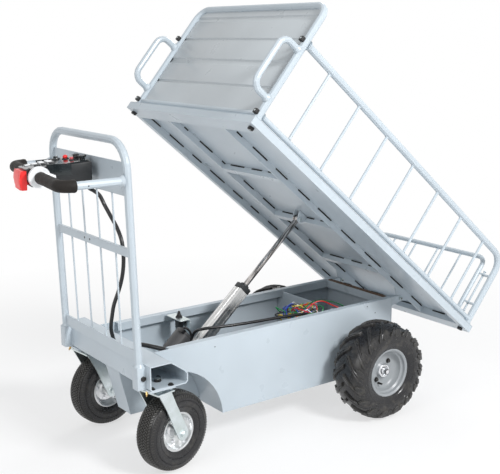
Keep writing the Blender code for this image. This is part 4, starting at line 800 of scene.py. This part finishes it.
            # Bright hub ring with its domed nut, black wheel bolts and the valve
            outwards = Matrix.Diagonal((1, 1, way, 1))
            piece("rear_hub_" + tag, [(lathe, hub, 40, outwards), (lathe, nut, 32, outwards)], "polished_steel",
                  body, at)
            bolts = [wheel_bolt(degrees, 0.042, face + 0.0005, way, 0.0066, 0.007) for degrees in (-45, 132)]
            valve = turned(110)
            bolts.append((bar, valve @ Vector((0.05, 0, way * face)), valve @ Vector((0.049, 0, way * (face + 0.02))),
                          0.0042, 12, 0.0032))
            piece("rear_bolts_" + tag, bolts, "blackened_steel", body, at)
        return {"FINISHED"}


class CART_OT_casters(bpy.types.Operator):
    """Model the casters: block tread tyres on pressed rims in plated forks"""
    bl_idname = "cart.casters"
    bl_label = "Casters"
    bl_options = {"REGISTER", "UNDO"}

    def execute(self, context):
        sizes = context.scene.cart_caster_tyre
        outer = node_size("caster_tyre_right").z / 2
        rim = node_size("caster_rim_right").z / 2
        crown = outer - sizes.depth
        pitch = math.tau / sizes.blocks
        reach = 0.03        # half of the tread's width
        flat = 0.012        # half of its level middle
        lip = 0.0325
        side = [*offsets(crown, 0, (0, 0), (-0.0004, 0.012), (-0.002, 0.022), (-0.0048, 0.0295), (-0.006, 0.0322),
                         (-0.005, 0.0335), (-0.0085, 0.0362), (-0.019, 0.0408), (-0.0225, 0.0415),
                         (-0.0235, 0.0403), (-0.0245, 0.0415), (-0.034, 0.0418)),
                *offsets(rim, 0, (0.023, 0.0396), (0.0218, 0.0376), (0.0196, 0.0376), (0.0184, 0.0388),
                         (0.008, 0.035), (0.002, 0.0325), (-0.001, 0.03))]
        dish = [*offsets(rim, lip, (0.0005, -0.001), (-0.002, 0), (-0.0065, -0.002), (-0.0085, -0.01),
                         (-0.015, -0.017), (-0.02, -0.024)), (0.034, 0.007), (0.028, 0.007), (0.0225, 0.012),
                (0.0215, 0.029), (0.0195, 0.03), (0.0075, 0.03)]

        def tread_block(bm, row, i):
            lean = 0.26 if row % 2 else -0.26
            for vert in bmesh.ops.create_cube(bm, size=2.0)["verts"]:
                top = vert.co.z > 0
                across = reach * (2 * (row + 0.5) / sizes.rows - 1) + vert.co.y * reach / sizes.rows * 0.80
                drop = max(0.0, abs(across) - flat) ** 2 * 15.0
                radius = crown - drop + (sizes.depth if top else -0.002)
                angle = (i + 0.5 * (row % 2) + vert.co.x * (0.30 if top else 0.34) + lean * vert.co.y) * pitch
                vert.co = (radius * math.cos(angle), radius * math.sin(angle), across)

        for tag in ("right", "left"):
            body = "caster_wheel_" + tag
            at = wheel_place("caster_spin_" + tag)
            shapes = [(lathe, side + mirrored(side[1:]), 80)]
            shapes += [(tread_block, row, i) for row in range(sizes.rows) for i in range(sizes.blocks)]
            for hand in SIDES:
                for i in range(sizes.blocks):
                    rib = (Matrix.Rotation(i * pitch, 4, "Z") @ moved(crown - 0.0105, 0, hand * 0.0365) @
                           Matrix.Rotation(hand * 0.42, 4, "Y"))
                    shapes.append((block, (-0.005, -0.0012, -0.0016), (0.005, 0.0012, 0.001), 0.0, rib))
            piece("caster_tyre_" + tag + "_treaded", shapes, "tyre_rubber", body, at, ("caster_tyre_" + tag,),
                  28.0)
            piece("caster_rim_" + tag + "_pressed", [(lathe, dish + mirrored(dish), 64)], "caster_rim_coat", body,
                  at, ("caster_rim_" + tag,))
            bolts = [wheel_bolt(degrees, 0.0375, 0.0075, hand, 0.0052, 0.0045)
                     for hand in SIDES for degrees in (20, 110, 200, 290)]
            valve = turned(65)
            bolts.append((bar, valve @ Vector((0.044, 0, -0.01)), valve @ Vector((0.046, 0, -0.03)), 0.003, 10,
                          0.0026))
            piece("caster_bolts_" + tag, bolts, "polished_steel", body, at)

            # Nuts and washers of the axle, on the fork
            joint = JOINTS["caster_spin_" + tag]
            place, axis = Vector(joint["pos_m"]), Vector(joint["axis"])
            cheek = 0.053       # outside of the fork, from the wheel's middle
            nuts = []
            for way in SIDES:
                nuts += [(hex_bolt, facing(place + axis * way * cheek, axis * way, 0.35), 0.0118, 0.0062),
                         (bar, place + axis * way * (cheek + 0.007), place + axis * way * (cheek + 0.009), 0.006,
                          14, 0.0052)]
            piece("axle_nuts_" + tag, nuts, "zinc_plating", "caster_" + tag, Matrix())
        return {"FINISHED"}


class CART_OT_deck(bpy.types.Operator):
    """Add the painted shade between the welds, and the welds, rubber feet and bolts of the deck and headboard"""
    bl_idname = "cart.deck"
    bl_label = "Deck details"
    bl_options = {"REGISTER", "UNDO"}

    def execute(self, context):
        # Painted shade: near-black strips where the gaps between the welds that hold the sheet on the stringers,
        # cross members and edge tubes lie in shade
        deep = 0.0025
        inner = ((0.155, 0.184), (0.24, 0.32), (0.367, 0.434), (0.496, 0.565), (0.616, 0.7), (0.762, 0.854),
                 (0.919, 1.03), (1.099, 1.19), (1.256, 1.334))
        outer = ((0.14, 0.196), (0.246, 0.326), (0.377, 0.432), (0.483, 0.573), (0.627, 0.689), (0.742, 0.796),
                 (0.858, 0.925), (0.985, 1.05), (1.115, 1.185), (1.25, 1.313))
        rows = [(y, way, inner, (0.018, 0.01) if way > 0 or y > 0 else (0, 0)) for y, way in STRINGERS]
        rows += [(y, way, outer, (0, 0)) for y, way in ((0.365, -1), (-0.365, 1))]
        gap_shade_strips = []
        for y, way, row, late in rows:
            near, far = sorted((y, y + way * 0.0008))
            gap_shade_strips += [(block, (low + late[0], near, SHEET_UNDER - deep), (high + late[1], far, SHEET_UNDER + deep))
                     for low, high in row]
        across = [(x - 0.0008, x + 0.001, ((0.047, 0.133), (-0.06, 0.002), (-0.15, -0.095))) for x in CROSS_MEMBERS]
        across.append((1.3484, 1.35, ((-0.29, -0.225), (-0.12, -0.05), (0.055, 0.13), (0.235, 0.3))))
        for near, far, row in across:
            gap_shade_strips += [(block, (near, low, SHEET_UNDER - deep), (far, high, SHEET_UNDER + deep)) for low, high in row]
        piece("deck_weld_gaps", gap_shade_strips, "open_gap", "deck", DECK)

        # Weld runs between the gaps, and at the corners of the members
        welds = [(weld, (x, y + way * 0.0004, 0.4222), (0.022, 0, 0), 0.0016) for y, way in STRINGERS[:2]
                 for x in (0.205, 0.34, 0.46, 0.59, 0.73, 0.885, 1.07, 1.222)]
        for x in CROSS_MEMBERS:
            for y in (-0.1698, 0.1698):
                welds += [(weld, (x + 0.001, y, 0.4015), (0, 0, 0.0205), 0.0016),
                          (weld, (x + 0.001, y, 0.4012), (0.023, 0, 0), 0.0014)]
        welds += [(weld, (x, y, 0.401), (0, 0, 0.0215), 0.0016) for y, way in STRINGERS for x in (0.1072, 1.3488)]
        # Along the foot of the headboard, round the feet of its tube, and the spots that hold the panel
        welds += [(sweep, [(0.0695, y, 0.431), (0.0695, y + 0.026, 0.431)], 0.0052, WELD_SIDES,
                   lambda t: 1 - (2 * t - 1) ** 2 * 0.5)
                  for y in (-0.3, -0.215, -0.125, -0.035, 0.055, 0.145, 0.235, 0.315)]
        welds += [(collar, (x, y, 0.4256), (0, 0, 1), TUBE)
                  for x, y in ((0.072, -TUBE_Y), (0.072, TUBE_Y), (1.3963, GUARD_Y))]
        welds += [(collar, (0.06, side * TUBE_Y, z), (-1, 0, 0), 0.0115) for side in SIDES for z in (0.5, 0.69)]
        welds += [(weld, (0.0712, y - 0.009, z), (0, 0.018, 0), 0.0021)
                  for y in (-0.3, -0.105, 0.105, 0.3) for z in (0.864, 0.456)]
        piece("deck_welds", welds, "powder_coat", "deck", DECK)

        # Square rubber buffers with a bolt through each
        wide = 0.0078
        buffers, bolts = [], []
        for side in SIDES:
            y = side * TUBE_Y
            for z in (0.445, 0.727):
                buffers.append((block, (0.0475, y - wide, z - wide), (0.06, y + wide, z + wide), 0.0014))
                bolts.append((bar, (0.0478, y, z), (0.047, y, z), 0.003, 12))
            y = side * 0.366
            for x in (0.073, 1.377):
                buffers.append((block, (x - wide, y - wide, 0.387), (x + wide, y + wide, 0.3978), 0.0014))
                bolts.append((bar, (x, y, 0.3872), (x, y, 0.3864), 0.003, 12))
        piece("deck_buffers", buffers, "black_rubber", "deck", DECK)
        piece("buffer_bolts", bolts, "zinc_plating", "deck", DECK)
        piece("clevis_nuts", [(hex_bolt, facing((0.7, -0.0176, 0.397), (0, -1, 0)), 0.0092, 0.004, False),
                              (hex_bolt, facing((0.7, 0.0216, 0.397), (0, 1, 0)), 0.008, 0.0016, False)],
              "zinc_plating", "deck", DECK)
        return {"FINISHED"}


class CART_OT_rails(bpy.types.Operator):
    """Add the welds of the side guard, the rear gate and the handle"""
    bl_idname = "cart.rails"
    bl_label = "Guard, gate and handle details"
    bl_options = {"REGISTER", "UNDO"}

    def execute(self, context):
        rods = [(0.2169 + i * 0.1722, GUARD_Y) for i in range(7)]
        welds = [(collar, (x, y, z), (0, 0, way), 0.005) for x, y in rods for z, way in ((0.4542, 1), (0.7146, -1))]
        welds += [(collar, (0.0865, GUARD_Y, 0.7265), (1, 0, 0), TUBE),
                  (collar, (0.086, GUARD_Y, 0.4455), (1, 0, 0), 0.0095),
                  (collar, (1.384, GUARD_Y, 0.4455), (-1, 0, 0), 0.0095)]
        piece("guard_welds", welds, "powder_coat", "deck", DECK)

        welds = [(collar, (GATE_X, -0.173 + i * 0.126, z), (0, 0, way), 0.004)
                 for i in range(4) for z, way in ((0.4628, 1), (0.7032, -1))]
        welds += [(bar, (GATE_X, -0.33, z - 0.0015), (GATE_X, -0.33, z + 0.0015), 0.0062) for z in (0.473, 0.652)]
        piece("gate_welds", welds, "powder_coat", "gate", DECK)

        welds = [(collar, (POST_X, y, z), (0, 0, way), 0.003) for y in (-0.155, -0.052, 0.052, 0.155)
                 for z, way in ((0.4373, 1), (0.9267, -1), (0.7368, -1), (0.7642, 1))]
        welds += [(weld, (POST_X, side * 0.2455, low), (0, 0, long), 0.0024) for side in SIDES
                  for low, long in ((0.399, 0.036), (0.739, 0.023), (0.93, 0.06))]
        piece("handle_welds", welds, "powder_coat", "chassis", HANDLE)
        # Near-black discs: painted shade in the holes of the handle and of the control bar
        piece("bar_holes", [(bar, (-0.0182, y, 0.7505), (-0.018, y, 0.7505), 0.0036, 14) for y in (0.014, 0.051)],
              "open_gap", "chassis", HANDLE)
        piece("control_bar_hole", [(bar, (-0.166, -0.2711, 0.975), (-0.166, -0.2715, 0.975), 0.002, 12)],
              "open_gap", "chassis")
        piece("control_bar_welds", [(collar, (-0.048, side * POST_Y, BAR_Z), (-1, 0, 0), TUBE) for side in SIDES],
              "powder_coat", "chassis")
        return {"FINISHED"}


class CART_OT_actuator(bpy.types.Operator):
    """Model the actuator's drawn tube, its end cap, motor and gearbox"""
    bl_idname = "cart.actuator"
    bl_label = "Actuator"
    bl_options = {"REGISTER", "UNDO"}

    def execute(self, context):
        # The rod's chrome has painted reflections as streaks in its colour
        coat("chrome", "actuator_rod")
        start, length = 0.0376, 0.3472
        half = [(0.0052, 0.0214), (0.006, 0.02), (0.012, 0.02), (0.0128, 0.022), (0.019, 0.022)]
        flank = [(-y, z) for y, z in reversed(half)] + half
        outline = [Matrix.Rotation(math.radians(-90 * quarter), 2) @ Vector(point)
                   for quarter in range(4) for point in flank]
        bm = bmesh.new()
        face = bm.faces.new([bm.verts.new((start, y, z)) for y, z in outline])
        grown = bmesh.ops.extrude_face_region(bm, geom=[face])["geom"]
        bmesh.ops.translate(bm, vec=(length, 0, 0), verts=vertices(grown))
        piece("actuator_profile", bm, "drawn_aluminium", "actuator", ACTUATOR, ("actuator_tube",), 20.0)

        cap = [(block, (0.3846, -0.0222, -0.0222), (0.406, 0.0222, 0.0222), 0.003, None, 3),
               (lathe, [(0.0178, 0.405), (0.0172, 0.41), (0.015, 0.412), (0.0112, 0.412), (0.0108, 0.405)], 36,
                ALONG_X)]
        cap += [(bar, (0.4055, y, z), (0.4072, y, z), 0.003, 6) for y in (-0.016, 0.016) for z in (-0.016, 0.016)]
        piece("actuator_cap", cap, "black_plastic", "actuator", ACTUATOR)

        case = [(0, start), (0.0335, start), (0.0335, 0.044), (0.035, 0.0446), (0.035, 0.114), (0.034, 0.115),
                (0.034, 0.117), (0.0345, 0.118), (0.0345, 0.124), (0.032, 0.127), (0.012, 0.127),
                (0.011, 0.1255), (0, 0.1255)]
        piece("actuator_motor_case", [(lathe, case, 48, moved(0, 0, 0.075) @ ALONG_X)], "motor_coat", "actuator",
              ACTUATOR, ("actuator_motor",))
        softened("actuator_gearbox", 0.0018, "actuator", "cast_aluminium", 3)
        piece("gearbox_screws", [(bar, (0.0172, side * y, z), (0.015, side * y, z), 0.0034, 6)
                                 for y, z in ((0.016, -0.014), (0.026, 0.06), (0.018, 0.1)) for side in SIDES],
              "zinc_plating", "actuator", ACTUATOR)

        # Motor lead: from the gland on the motor's end round into the tub
        route = [(0.12, -0.018, 0.104), (0.132, -0.022, 0.108), (0.137, -0.028, 0.094), (0.128, -0.033, 0.072),
                 (0.1, -0.034, 0.048), (0.07, -0.034, 0.022), (0.03, -0.03, 0.004)]
        piece("motor_lead", [(sweep, run(route), 0.0042),
                             (block, (0.112, -0.03, 0.098), (0.128, -0.006, 0.112), 0.002)],
              "cable_jacket", "actuator", ACTUATOR)
        return {"FINISHED"}


class CART_OT_tub_fittings(bpy.types.Operator):
    """Lay the wires and cables in the tub and model the tilt switch"""
    bl_idname = "cart.tub_fittings"
    bl_label = "Wiring and tilt switch"
    bl_options = {"REGISTER", "UNDO"}

    def execute(self, context):
        settings = context.scene.cart_wiring
        # Loose loops of coloured wire over the batteries, and three longer runs over the seal
        chance = random.Random(settings.seed)
        long_runs = {"red": (0.0, 0.014), "green": (0.0,)}
        for colour in ("red", "green", "black", "yellow", "blue", "white"):
            wires = []
            for i in range(settings.loops):
                x, y = 0.745 + 0.105 * chance.random(), -0.120 + 0.115 * chance.random()
                start = math.tau * chance.random()
                reach = 0.022 + 0.030 * chance.random()
                top = 0.360 + 0.030 * chance.random()
                line = []
                for step in range(6):
                    angle = start + step * (0.55 + 0.35 * chance.random())
                    rise = math.sin(math.pi * step / 5)
                    line.append((min(0.868, x + reach * math.cos(angle)),
                                 max(-0.15, y + reach * 0.8 * math.sin(angle)), top - 0.03 + 0.034 * rise))
                wires.append((sweep, run(line, 4), 0.0021, 6))
            for shift in long_runs.get(colour, ()):
                route = [(0.77 + shift, -0.09, 0.35), (0.8, -0.07 - shift, 0.378), (0.845, -0.066 - shift, 0.401),
                         (0.88, -0.074 - shift, 0.4045), (0.925, -0.098, 0.396 - shift),
                         (0.965, -0.122, 0.374 - shift), (0.985, -0.132, 0.34)]
                wires.append((sweep, run(route), 0.0023, 8))
            piece("wires_" + colour, wires, "wire_" + colour, "chassis")

        to_batteries = [(0.33, -0.018, 0.34), (0.337, -0.035, 0.374), (0.358, -0.062, 0.3895), (0.45, -0.094, 0.392),
                        (0.56, -0.112, 0.392), (0.66, -0.124, 0.392), (0.735, -0.13, 0.3895), (0.785, -0.12, 0.378),
                        (0.815, -0.1, 0.35)]
        over_the_rim = [(0.096, 0.03, 0.332), (0.108, 0.004, 0.362), (0.118, -0.04, 0.3745), (0.14, -0.09, 0.3745),
                        (0.172, -0.128, 0.366), (0.205, -0.142, 0.344), (0.235, -0.14, 0.32)]
        to_the_floor = [(0.352, -0.112, 0.35), (0.35, -0.118, 0.3), (0.352, -0.122, 0.22), (0.36, -0.12, 0.15),
                        (0.4, -0.115, 0.129), (0.432, -0.11, 0.13)]
        piece("tub_cables", [(sweep, run(to_batteries), 0.0056, 12), (sweep, run(over_the_rim), 0.0075, 12),
                             (sweep, run(to_the_floor), 0.004)], "cable_jacket", "chassis")
        piece("plug_housings", [(block, (0.148, -0.146, 0.336), (0.186, -0.126, 0.352), 0.0025),
                                (block, (0.76, -0.118, 0.345), (0.79, -0.1, 0.362), 0.002)],
              "pale_plastic", "chassis")

        # Corrugated sleeve round the wire harness
        line = run([(0.52, -0.115, 0.1965), (0.522, -0.116, 0.235), (0.56, -0.118, 0.3), (0.64, -0.118, 0.326),
                    (0.76, -0.112, 0.336), (0.877, -0.1, 0.338), (0.96, -0.094, 0.342), (1.03, -0.092, 0.34),
                    (1.058, -0.09, 0.323), (1.062, -0.09, 0.3015)], 14)
        rings = len(line) - 1
        piece("harness_sleeve", [(sweep, line, 0.0078, 10, lambda t: 1.0 if round(t * rings) % 2 else 0.88)],
              "cable_jacket", "chassis", CART, ("wire_harness",), 60.0)

        # Tilt switch: pointed rubber boot over a black body under the flange, and its lead
        boot = [(0, 0), (0.0125, 0), (0.0125, 0.003), (0.0112, 0.0042), (0.0098, 0.0046), (0.01, 0.007),
                (0.0082, 0.008), (0.0084, 0.0105), (0.0066, 0.0118), (0.0056, 0.017), (0.004, 0.0215),
                (0.0018, 0.0236), (0, 0.024)]
        piece("switch_boot", [(lathe, boot, 28, moved(0.357, 0.102, 0.3918)),
                              (block, (0.3565, 0.1015, 0.395), (0.369, 0.1025, 0.3965), 0.0003)],
              "black_rubber", "tilt_control", CART, ("tilt_switch",))
        lead = [(0.357, 0.102, 0.354), (0.356, 0.1, 0.32), (0.35, 0.09, 0.24), (0.352, 0.07, 0.16),
                (0.39, 0.02, 0.131), (0.44, -0.06, 0.13)]
        piece("switch_body", [(block, (0.3465, 0.09, 0.352), (0.3675, 0.114, 0.3885), 0.0015),
                              (sweep, run(lead), 0.004, 8)], "black_plastic", "chassis")
        # Near-black discs: painted shade in the holes of the switch post
        piece("post_holes", [(bar, (0.3732, y, z), (0.3727, y, z), 0.0024, 12) for y, z in
                             ((0.086, 0.372), (0.086, 0.356), (0.086, 0.34), (0.12, 0.366), (0.12, 0.345))],
              "open_gap", "chassis")
        piece("terminal_nuts", [(hex_bolt, moved(x, side * 0.073, 0.268), 0.0062, 0.0045)
                                for side in SIDES for x in (0.678, 0.826)], "brass", "chassis")
        return {"FINISHED"}


class CART_OT_head(bpy.types.Operator):
    """Model the control head: keys, buttons, side panels, reverse pad and clamp"""
    bl_idname = "cart.head"
    bl_label = "Control head"
    bl_options = {"REGISTER", "UNDO"}

    def execute(self, context):
        softened("head_housing", 0.0012, "chassis", "black_plastic")
        softened("head_panel", 0.0007, "chassis", "black_gloss")
        softened("head_clamp_right", 0.0012, "chassis", "pale_plastic", 3)
        softened("drive_rocker", 0.0006, "drive_switch", "black_plastic")

        # Raised covers on both flanks of the housing, slanting with them
        bm = bmesh.new()
        thick = 0.002
        for side in SIDES:
            flank = moved(-0.06, side * 0.085, 0) @ Matrix.Rotation(side * math.atan2(0.039, HEAD_LENGTH), 4, "Z")
            for x, z, far, top, proud in ((-0.141, 0.9785, -0.064, 1.015, 0.0012),
                                          (-0.137, 0.982, -0.068, 1.0115, 0.0018)):
                before = set(bm.verts)
                block(bm, (x, -thick, z), (far, thick, top), 0.0007)
                made = [vert for vert in bm.verts if vert not in before]
                for vert in made:
                    vert.co.y = side * proud if vert.co.y * side > 0 else -side * thick
                    if vert.co.x < -0.10 and vert.co.z < 0.99:
                        vert.co.x += 0.016
                bmesh.ops.transform(bm, matrix=flank, verts=made)
        piece("head_covers", bm, "black_gloss", "chassis", HEAD)

        # Keys in their frames; those on the left half are pale
        keys, frames = [], []
        for x, y in ((-0.106, 0.022), (-0.13, 0.026), (-0.152, 0.026), (-0.174, 0.024), (-0.106, -0.012),
                     (-0.13, -0.01), (-0.152, -0.008)):
            frames.append((block, (x - 0.0092, y - 0.0085, -0.0004), (x + 0.0092, y + 0.0085, 0.0008), 0.0004))
            (keys if y > 0 else frames).append(
                (block, (x - 0.0084, y - 0.0078, 0), (x + 0.0084, y + 0.0078, 0.0034), 0.0006))
        keys += [(block, (x - 0.007, 0.0405, 0), (x + 0.007, 0.051, 0.0028), 0.0006) for x in (-0.106, -0.128)]
        piece("keypad_keys", keys, "pale_plastic", "chassis", HEAD_TOP)
        piece("keypad_frames", frames, "black_plastic", "chassis", HEAD_TOP)

        def knob(x, y, outline):
            """Turned knob or button on a stem that goes into the panel."""
            return (lathe, [(0, -0.004), (0.0044, -0.004), *outline], 32, moved(x, y, 0))

        dome = knob(-0.051, 0.023, [(0.0044, 0.0042), (0.0074, 0.0042), (0.008, 0.0054), (0.0078, 0.0086),
                                    (0.0062, 0.011), (0.0034, 0.0124), (0, 0.0127)])
        piece("stop_dome", [dome], "red_plastic", "stop", HEAD_TOP, ("stop_button",))
        cap = knob(-0.044, -0.019, [(0.0044, 0.0037), (0.0058, 0.0037), (0.0062, 0.0048), (0.006, 0.008),
                                    (0.0048, 0.009), (0, 0.0092)])
        piece("horn_cap", [cap], "pink_plastic", "horn", HEAD_TOP, ("horn_button",))
        dial = [knob(-0.019, 0.012, [(0.0044, 0.0008), (0.0104, 0.0008), (0.0104, 0.003), (0.0092, 0.0044),
                                     (0.0086, 0.0104), (0.0074, 0.0116), (0, 0.0116)])]
        dial += [(block, (0.0082, -0.0008, 0.0046), (0.0096, 0.0008, 0.0104), 0.0003,
                  moved(-0.019, 0.012, 0) @ turned(360 * i / 14)) for i in range(14)]
        dial.append((block, (-0.0195, 0.012, 0.0112), (-0.0185, 0.02, 0.0121), 0.0002))
        piece("speed_dial", dial, "black_plastic", "speed_dial", HEAD_TOP, ("speed_knob",))
        lens = knob(-0.076, 0.044, [(0.0044, 0.0008), (0.0098, 0.0008), (0.01, 0.0026), (0.0092, 0.0044),
                                    (0.0062, 0.0054), (0, 0.0056)])
        piece("key_lens", [lens, (block, (-0.083, 0.0427, 0.004), (-0.069, 0.0453, 0.0105), 0.0008)],
              "black_gloss", "key", HEAD_TOP, ("key_switch",))

        rings = [(lathe, offsets(radius, 0, (0, 0), (0, 0.0018), (0.0006, 0.0024), (0.002, 0.002), (0.0022, 0)), 32,
                  moved(x, y, 0))
                 for x, y, radius in ((-0.051, 0.023, 0.0092), (-0.044, -0.019, 0.0072), (-0.076, 0.044, 0.0112))]
        rings += [(bar, (x, y, -0.0002), (x, y, 0.0008), 0.003, 14)
                  for x, y in ((-0.012, 0.07), (-0.012, -0.07), (-0.186, 0.034), (-0.186, -0.034))]
        piece("button_rings", rings, "black_plastic", "chassis", HEAD_TOP)

        # Reverse pad: a block bulged at the front, on its tongue
        bm = bmesh.new()
        half_width, half_height = 0.036, 0.029
        grid = bmesh.ops.create_grid(bm, x_segments=10, y_segments=10, size=1.0)["verts"]
        front = set(vertices(bmesh.ops.extrude_face_region(bm, geom=linked(grid, "faces"))["geom"]))
        for vert in bm.verts:
            across, up = vert.co.x, vert.co.y
            depth = -0.253
            if vert in front:
                depth = -0.2769 + 0.005 * up * up + 0.0016 * across ** 4
            vert.co = (depth, across * half_width * (0.98 if vert in front else 1.0),
                       0.967 + up * (half_height if up > 0 else half_height - 0.002 * across))
        edges = [edge for edge in bm.edges if len(edge.link_faces) == 2 and edge.calc_face_angle(0.0) > 0.9]
        bmesh.ops.bevel(bm, geom=edges, offset=0.0022, offset_type="OFFSET", segments=3, profile=0.5,
                        affect="EDGES", material=-1)
        block(bm, (-0.27, -0.0152, 0.95055), (-0.213, 0.0152, 0.95905))
        piece("pad_cover", bm, "red_plastic", "reverse_switch", HEAD, ("reverse_pad",), 40.0)

        # Ribs and screw of the clamp, and the cable gland under the head
        clamp_x = -0.2214
        angles = [math.radians(30 + 12 * i) for i in range(17)]
        ribs = [(sweep, [(clamp_x + reach * math.cos(a), -0.0709, BAR_Z + reach * math.sin(a)) for a in angles],
                 0.001, 6) for reach in (0.0285, 0.0335)]
        piece("clamp_ribs", ribs, "pale_plastic", "chassis", HEAD)
        piece("clamp_screw", [(hex_bolt, facing((clamp_x + 0.038, -0.0706, 0.971), (0, -1, 0)), 0.0042, 0.0026)],
              "zinc_plating", "chassis", HEAD)
        gland = [(0.007, 0), (0.0115, 0), (0.0115, -0.006), (0.0095, -0.0085), (0.009, -0.013), (0.007, -0.014)]
        piece("head_gland", [(lathe, gland, 24, moved(-0.064, -0.06, 0.9572))], "black_plastic", "chassis")
        return {"FINISHED"}


class CART_OT_grips(bpy.types.Operator):
    """Model the foam grips and the control cable"""
    bl_idname = "cart.grips"
    bl_label = "Grips and cable"
    bl_options = {"REGISTER", "UNDO"}

    def execute(self, context):
        settings = context.scene.cart_grips

        def swell(t):
            """Foam pushed up at both ends, with a rolled lip."""
            ends = math.exp(-((t / 0.035) ** 2)) * 0.10 + math.exp(-(((1 - t) / 0.03) ** 2)) * 0.06
            return 0.97 + ends - (0.10 if t < 0.004 or t > 0.996 else 0.0)

        for tag, x, side in (("right", -0.246, -1), ("left", -0.177, 1)):
            corner = Vector((x, side * POST_Y, BAR_Z))
            inner = HEAD_TURN @ Vector((-0.2214, side * 0.0716, BAR_Z))
            coarse = bent([corner + Vector((0.042, 0, 0)), corner, inner], 0.034, 8)
            line = []
            for a, b in zip(coarse, coarse[1:]):
                steps = max(1, round((b - a).length / 0.006))
                line += [a.lerp(b, step / steps) for step in range(steps)]
            piece("foam_grip_" + tag, [(sweep, line + [coarse[-1]], settings.grip, 28, swell)], "foam_grip",
                  "chassis", CART, ("grip_" + tag,))

        hole = (0.0235, -0.018)
        line = run([(-0.064, -0.06, 0.9565), (-0.062, -0.055, 0.943), (-0.05, -0.04, 0.927), (-0.031, -0.031, 0.916),
                    (-0.012, -0.033, 0.899), (-0.001, -0.043, 0.868), (0.004, -0.072, 0.836), (0.005, -0.111, 0.803),
                    (0.005, -0.14, 0.762), (0.005, -0.146, 0.706), (0.005, -0.134, 0.652), (0.005, -0.107, 0.599),
                    (0.005, -0.07, 0.542), (0.006, -0.05, 0.494), (0.01, -0.034, 0.462), (0.016, -0.024, 0.435),
                    (*hole, 0.414), (*hole, 0.39), (*hole, 0.366)])
        piece("control_cable_round", [(sweep, line, settings.cable, 14)], "cable_jacket", "chassis", CART,
              ("control_cable",))
        grommet = [(0.0066, 0), (0.0078, 0), (0.0078, 0.0002), (0.014, 0.0002), (0.0135, 0.003), (0.0098, 0.005),
                   (0.0088, 0.013), (0.0066, 0.014)]
        piece("cable_grommet", [(lathe, grommet, 28, moved(*hole, 0.3951))], "black_rubber", "chassis")
        return {"FINISHED"}


class CART_PT_panel(bpy.types.Panel):
    """Lists the cart's sizes, colours and operators"""
    bl_label = "Platform cart"
    bl_space_type = "VIEW_3D"
    bl_region_type = "UI"
    bl_category = "Cart"

    def draw(self, context):
        for group, (title, kind) in SETTINGS.items():
            box = self.layout.box()
            box.label(text=title)
            for name in kind.__annotations__:
                box.prop(getattr(context.scene, group), name)
        for operator in STEPS:
            self.layout.operator(operator.bl_idname)


SETTINGS = {"cart_finish": ("Finish", CartFinish), "cart_rear_tyre": ("Rear tyres", RearTyreSizes),
            "cart_caster_tyre": ("Caster tyres", CasterTyreSizes),
            "cart_wiring": ("Wires in the tub", WiringSettings),
            "cart_grips": ("Grips and cable", GripSettings), "cart_studio": ("Studio", StudioSettings)}
STEPS = (CART_OT_stage, CART_OT_steelwork, CART_OT_rear_wheels, CART_OT_casters, CART_OT_deck, CART_OT_rails,
         CART_OT_actuator, CART_OT_tub_fittings, CART_OT_head, CART_OT_grips)
CLASSES = (*(kind for title, kind in SETTINGS.values()), *STEPS, CART_PT_panel)


def register():
    for kind in CLASSES:
        bpy.utils.register_class(kind)
    for name, (title, kind) in SETTINGS.items():
        setattr(bpy.types.Scene, name, PointerProperty(type=kind))


def unregister():
    for name in SETTINGS:
        delattr(bpy.types.Scene, name)
    for kind in reversed(CLASSES):
        bpy.utils.unregister_class(kind)


def main():
    register()
    for step in STEPS:
        getattr(bpy.ops.cart, step.bl_idname.split(".")[1])()


if __name__ == "__main__":
    main()
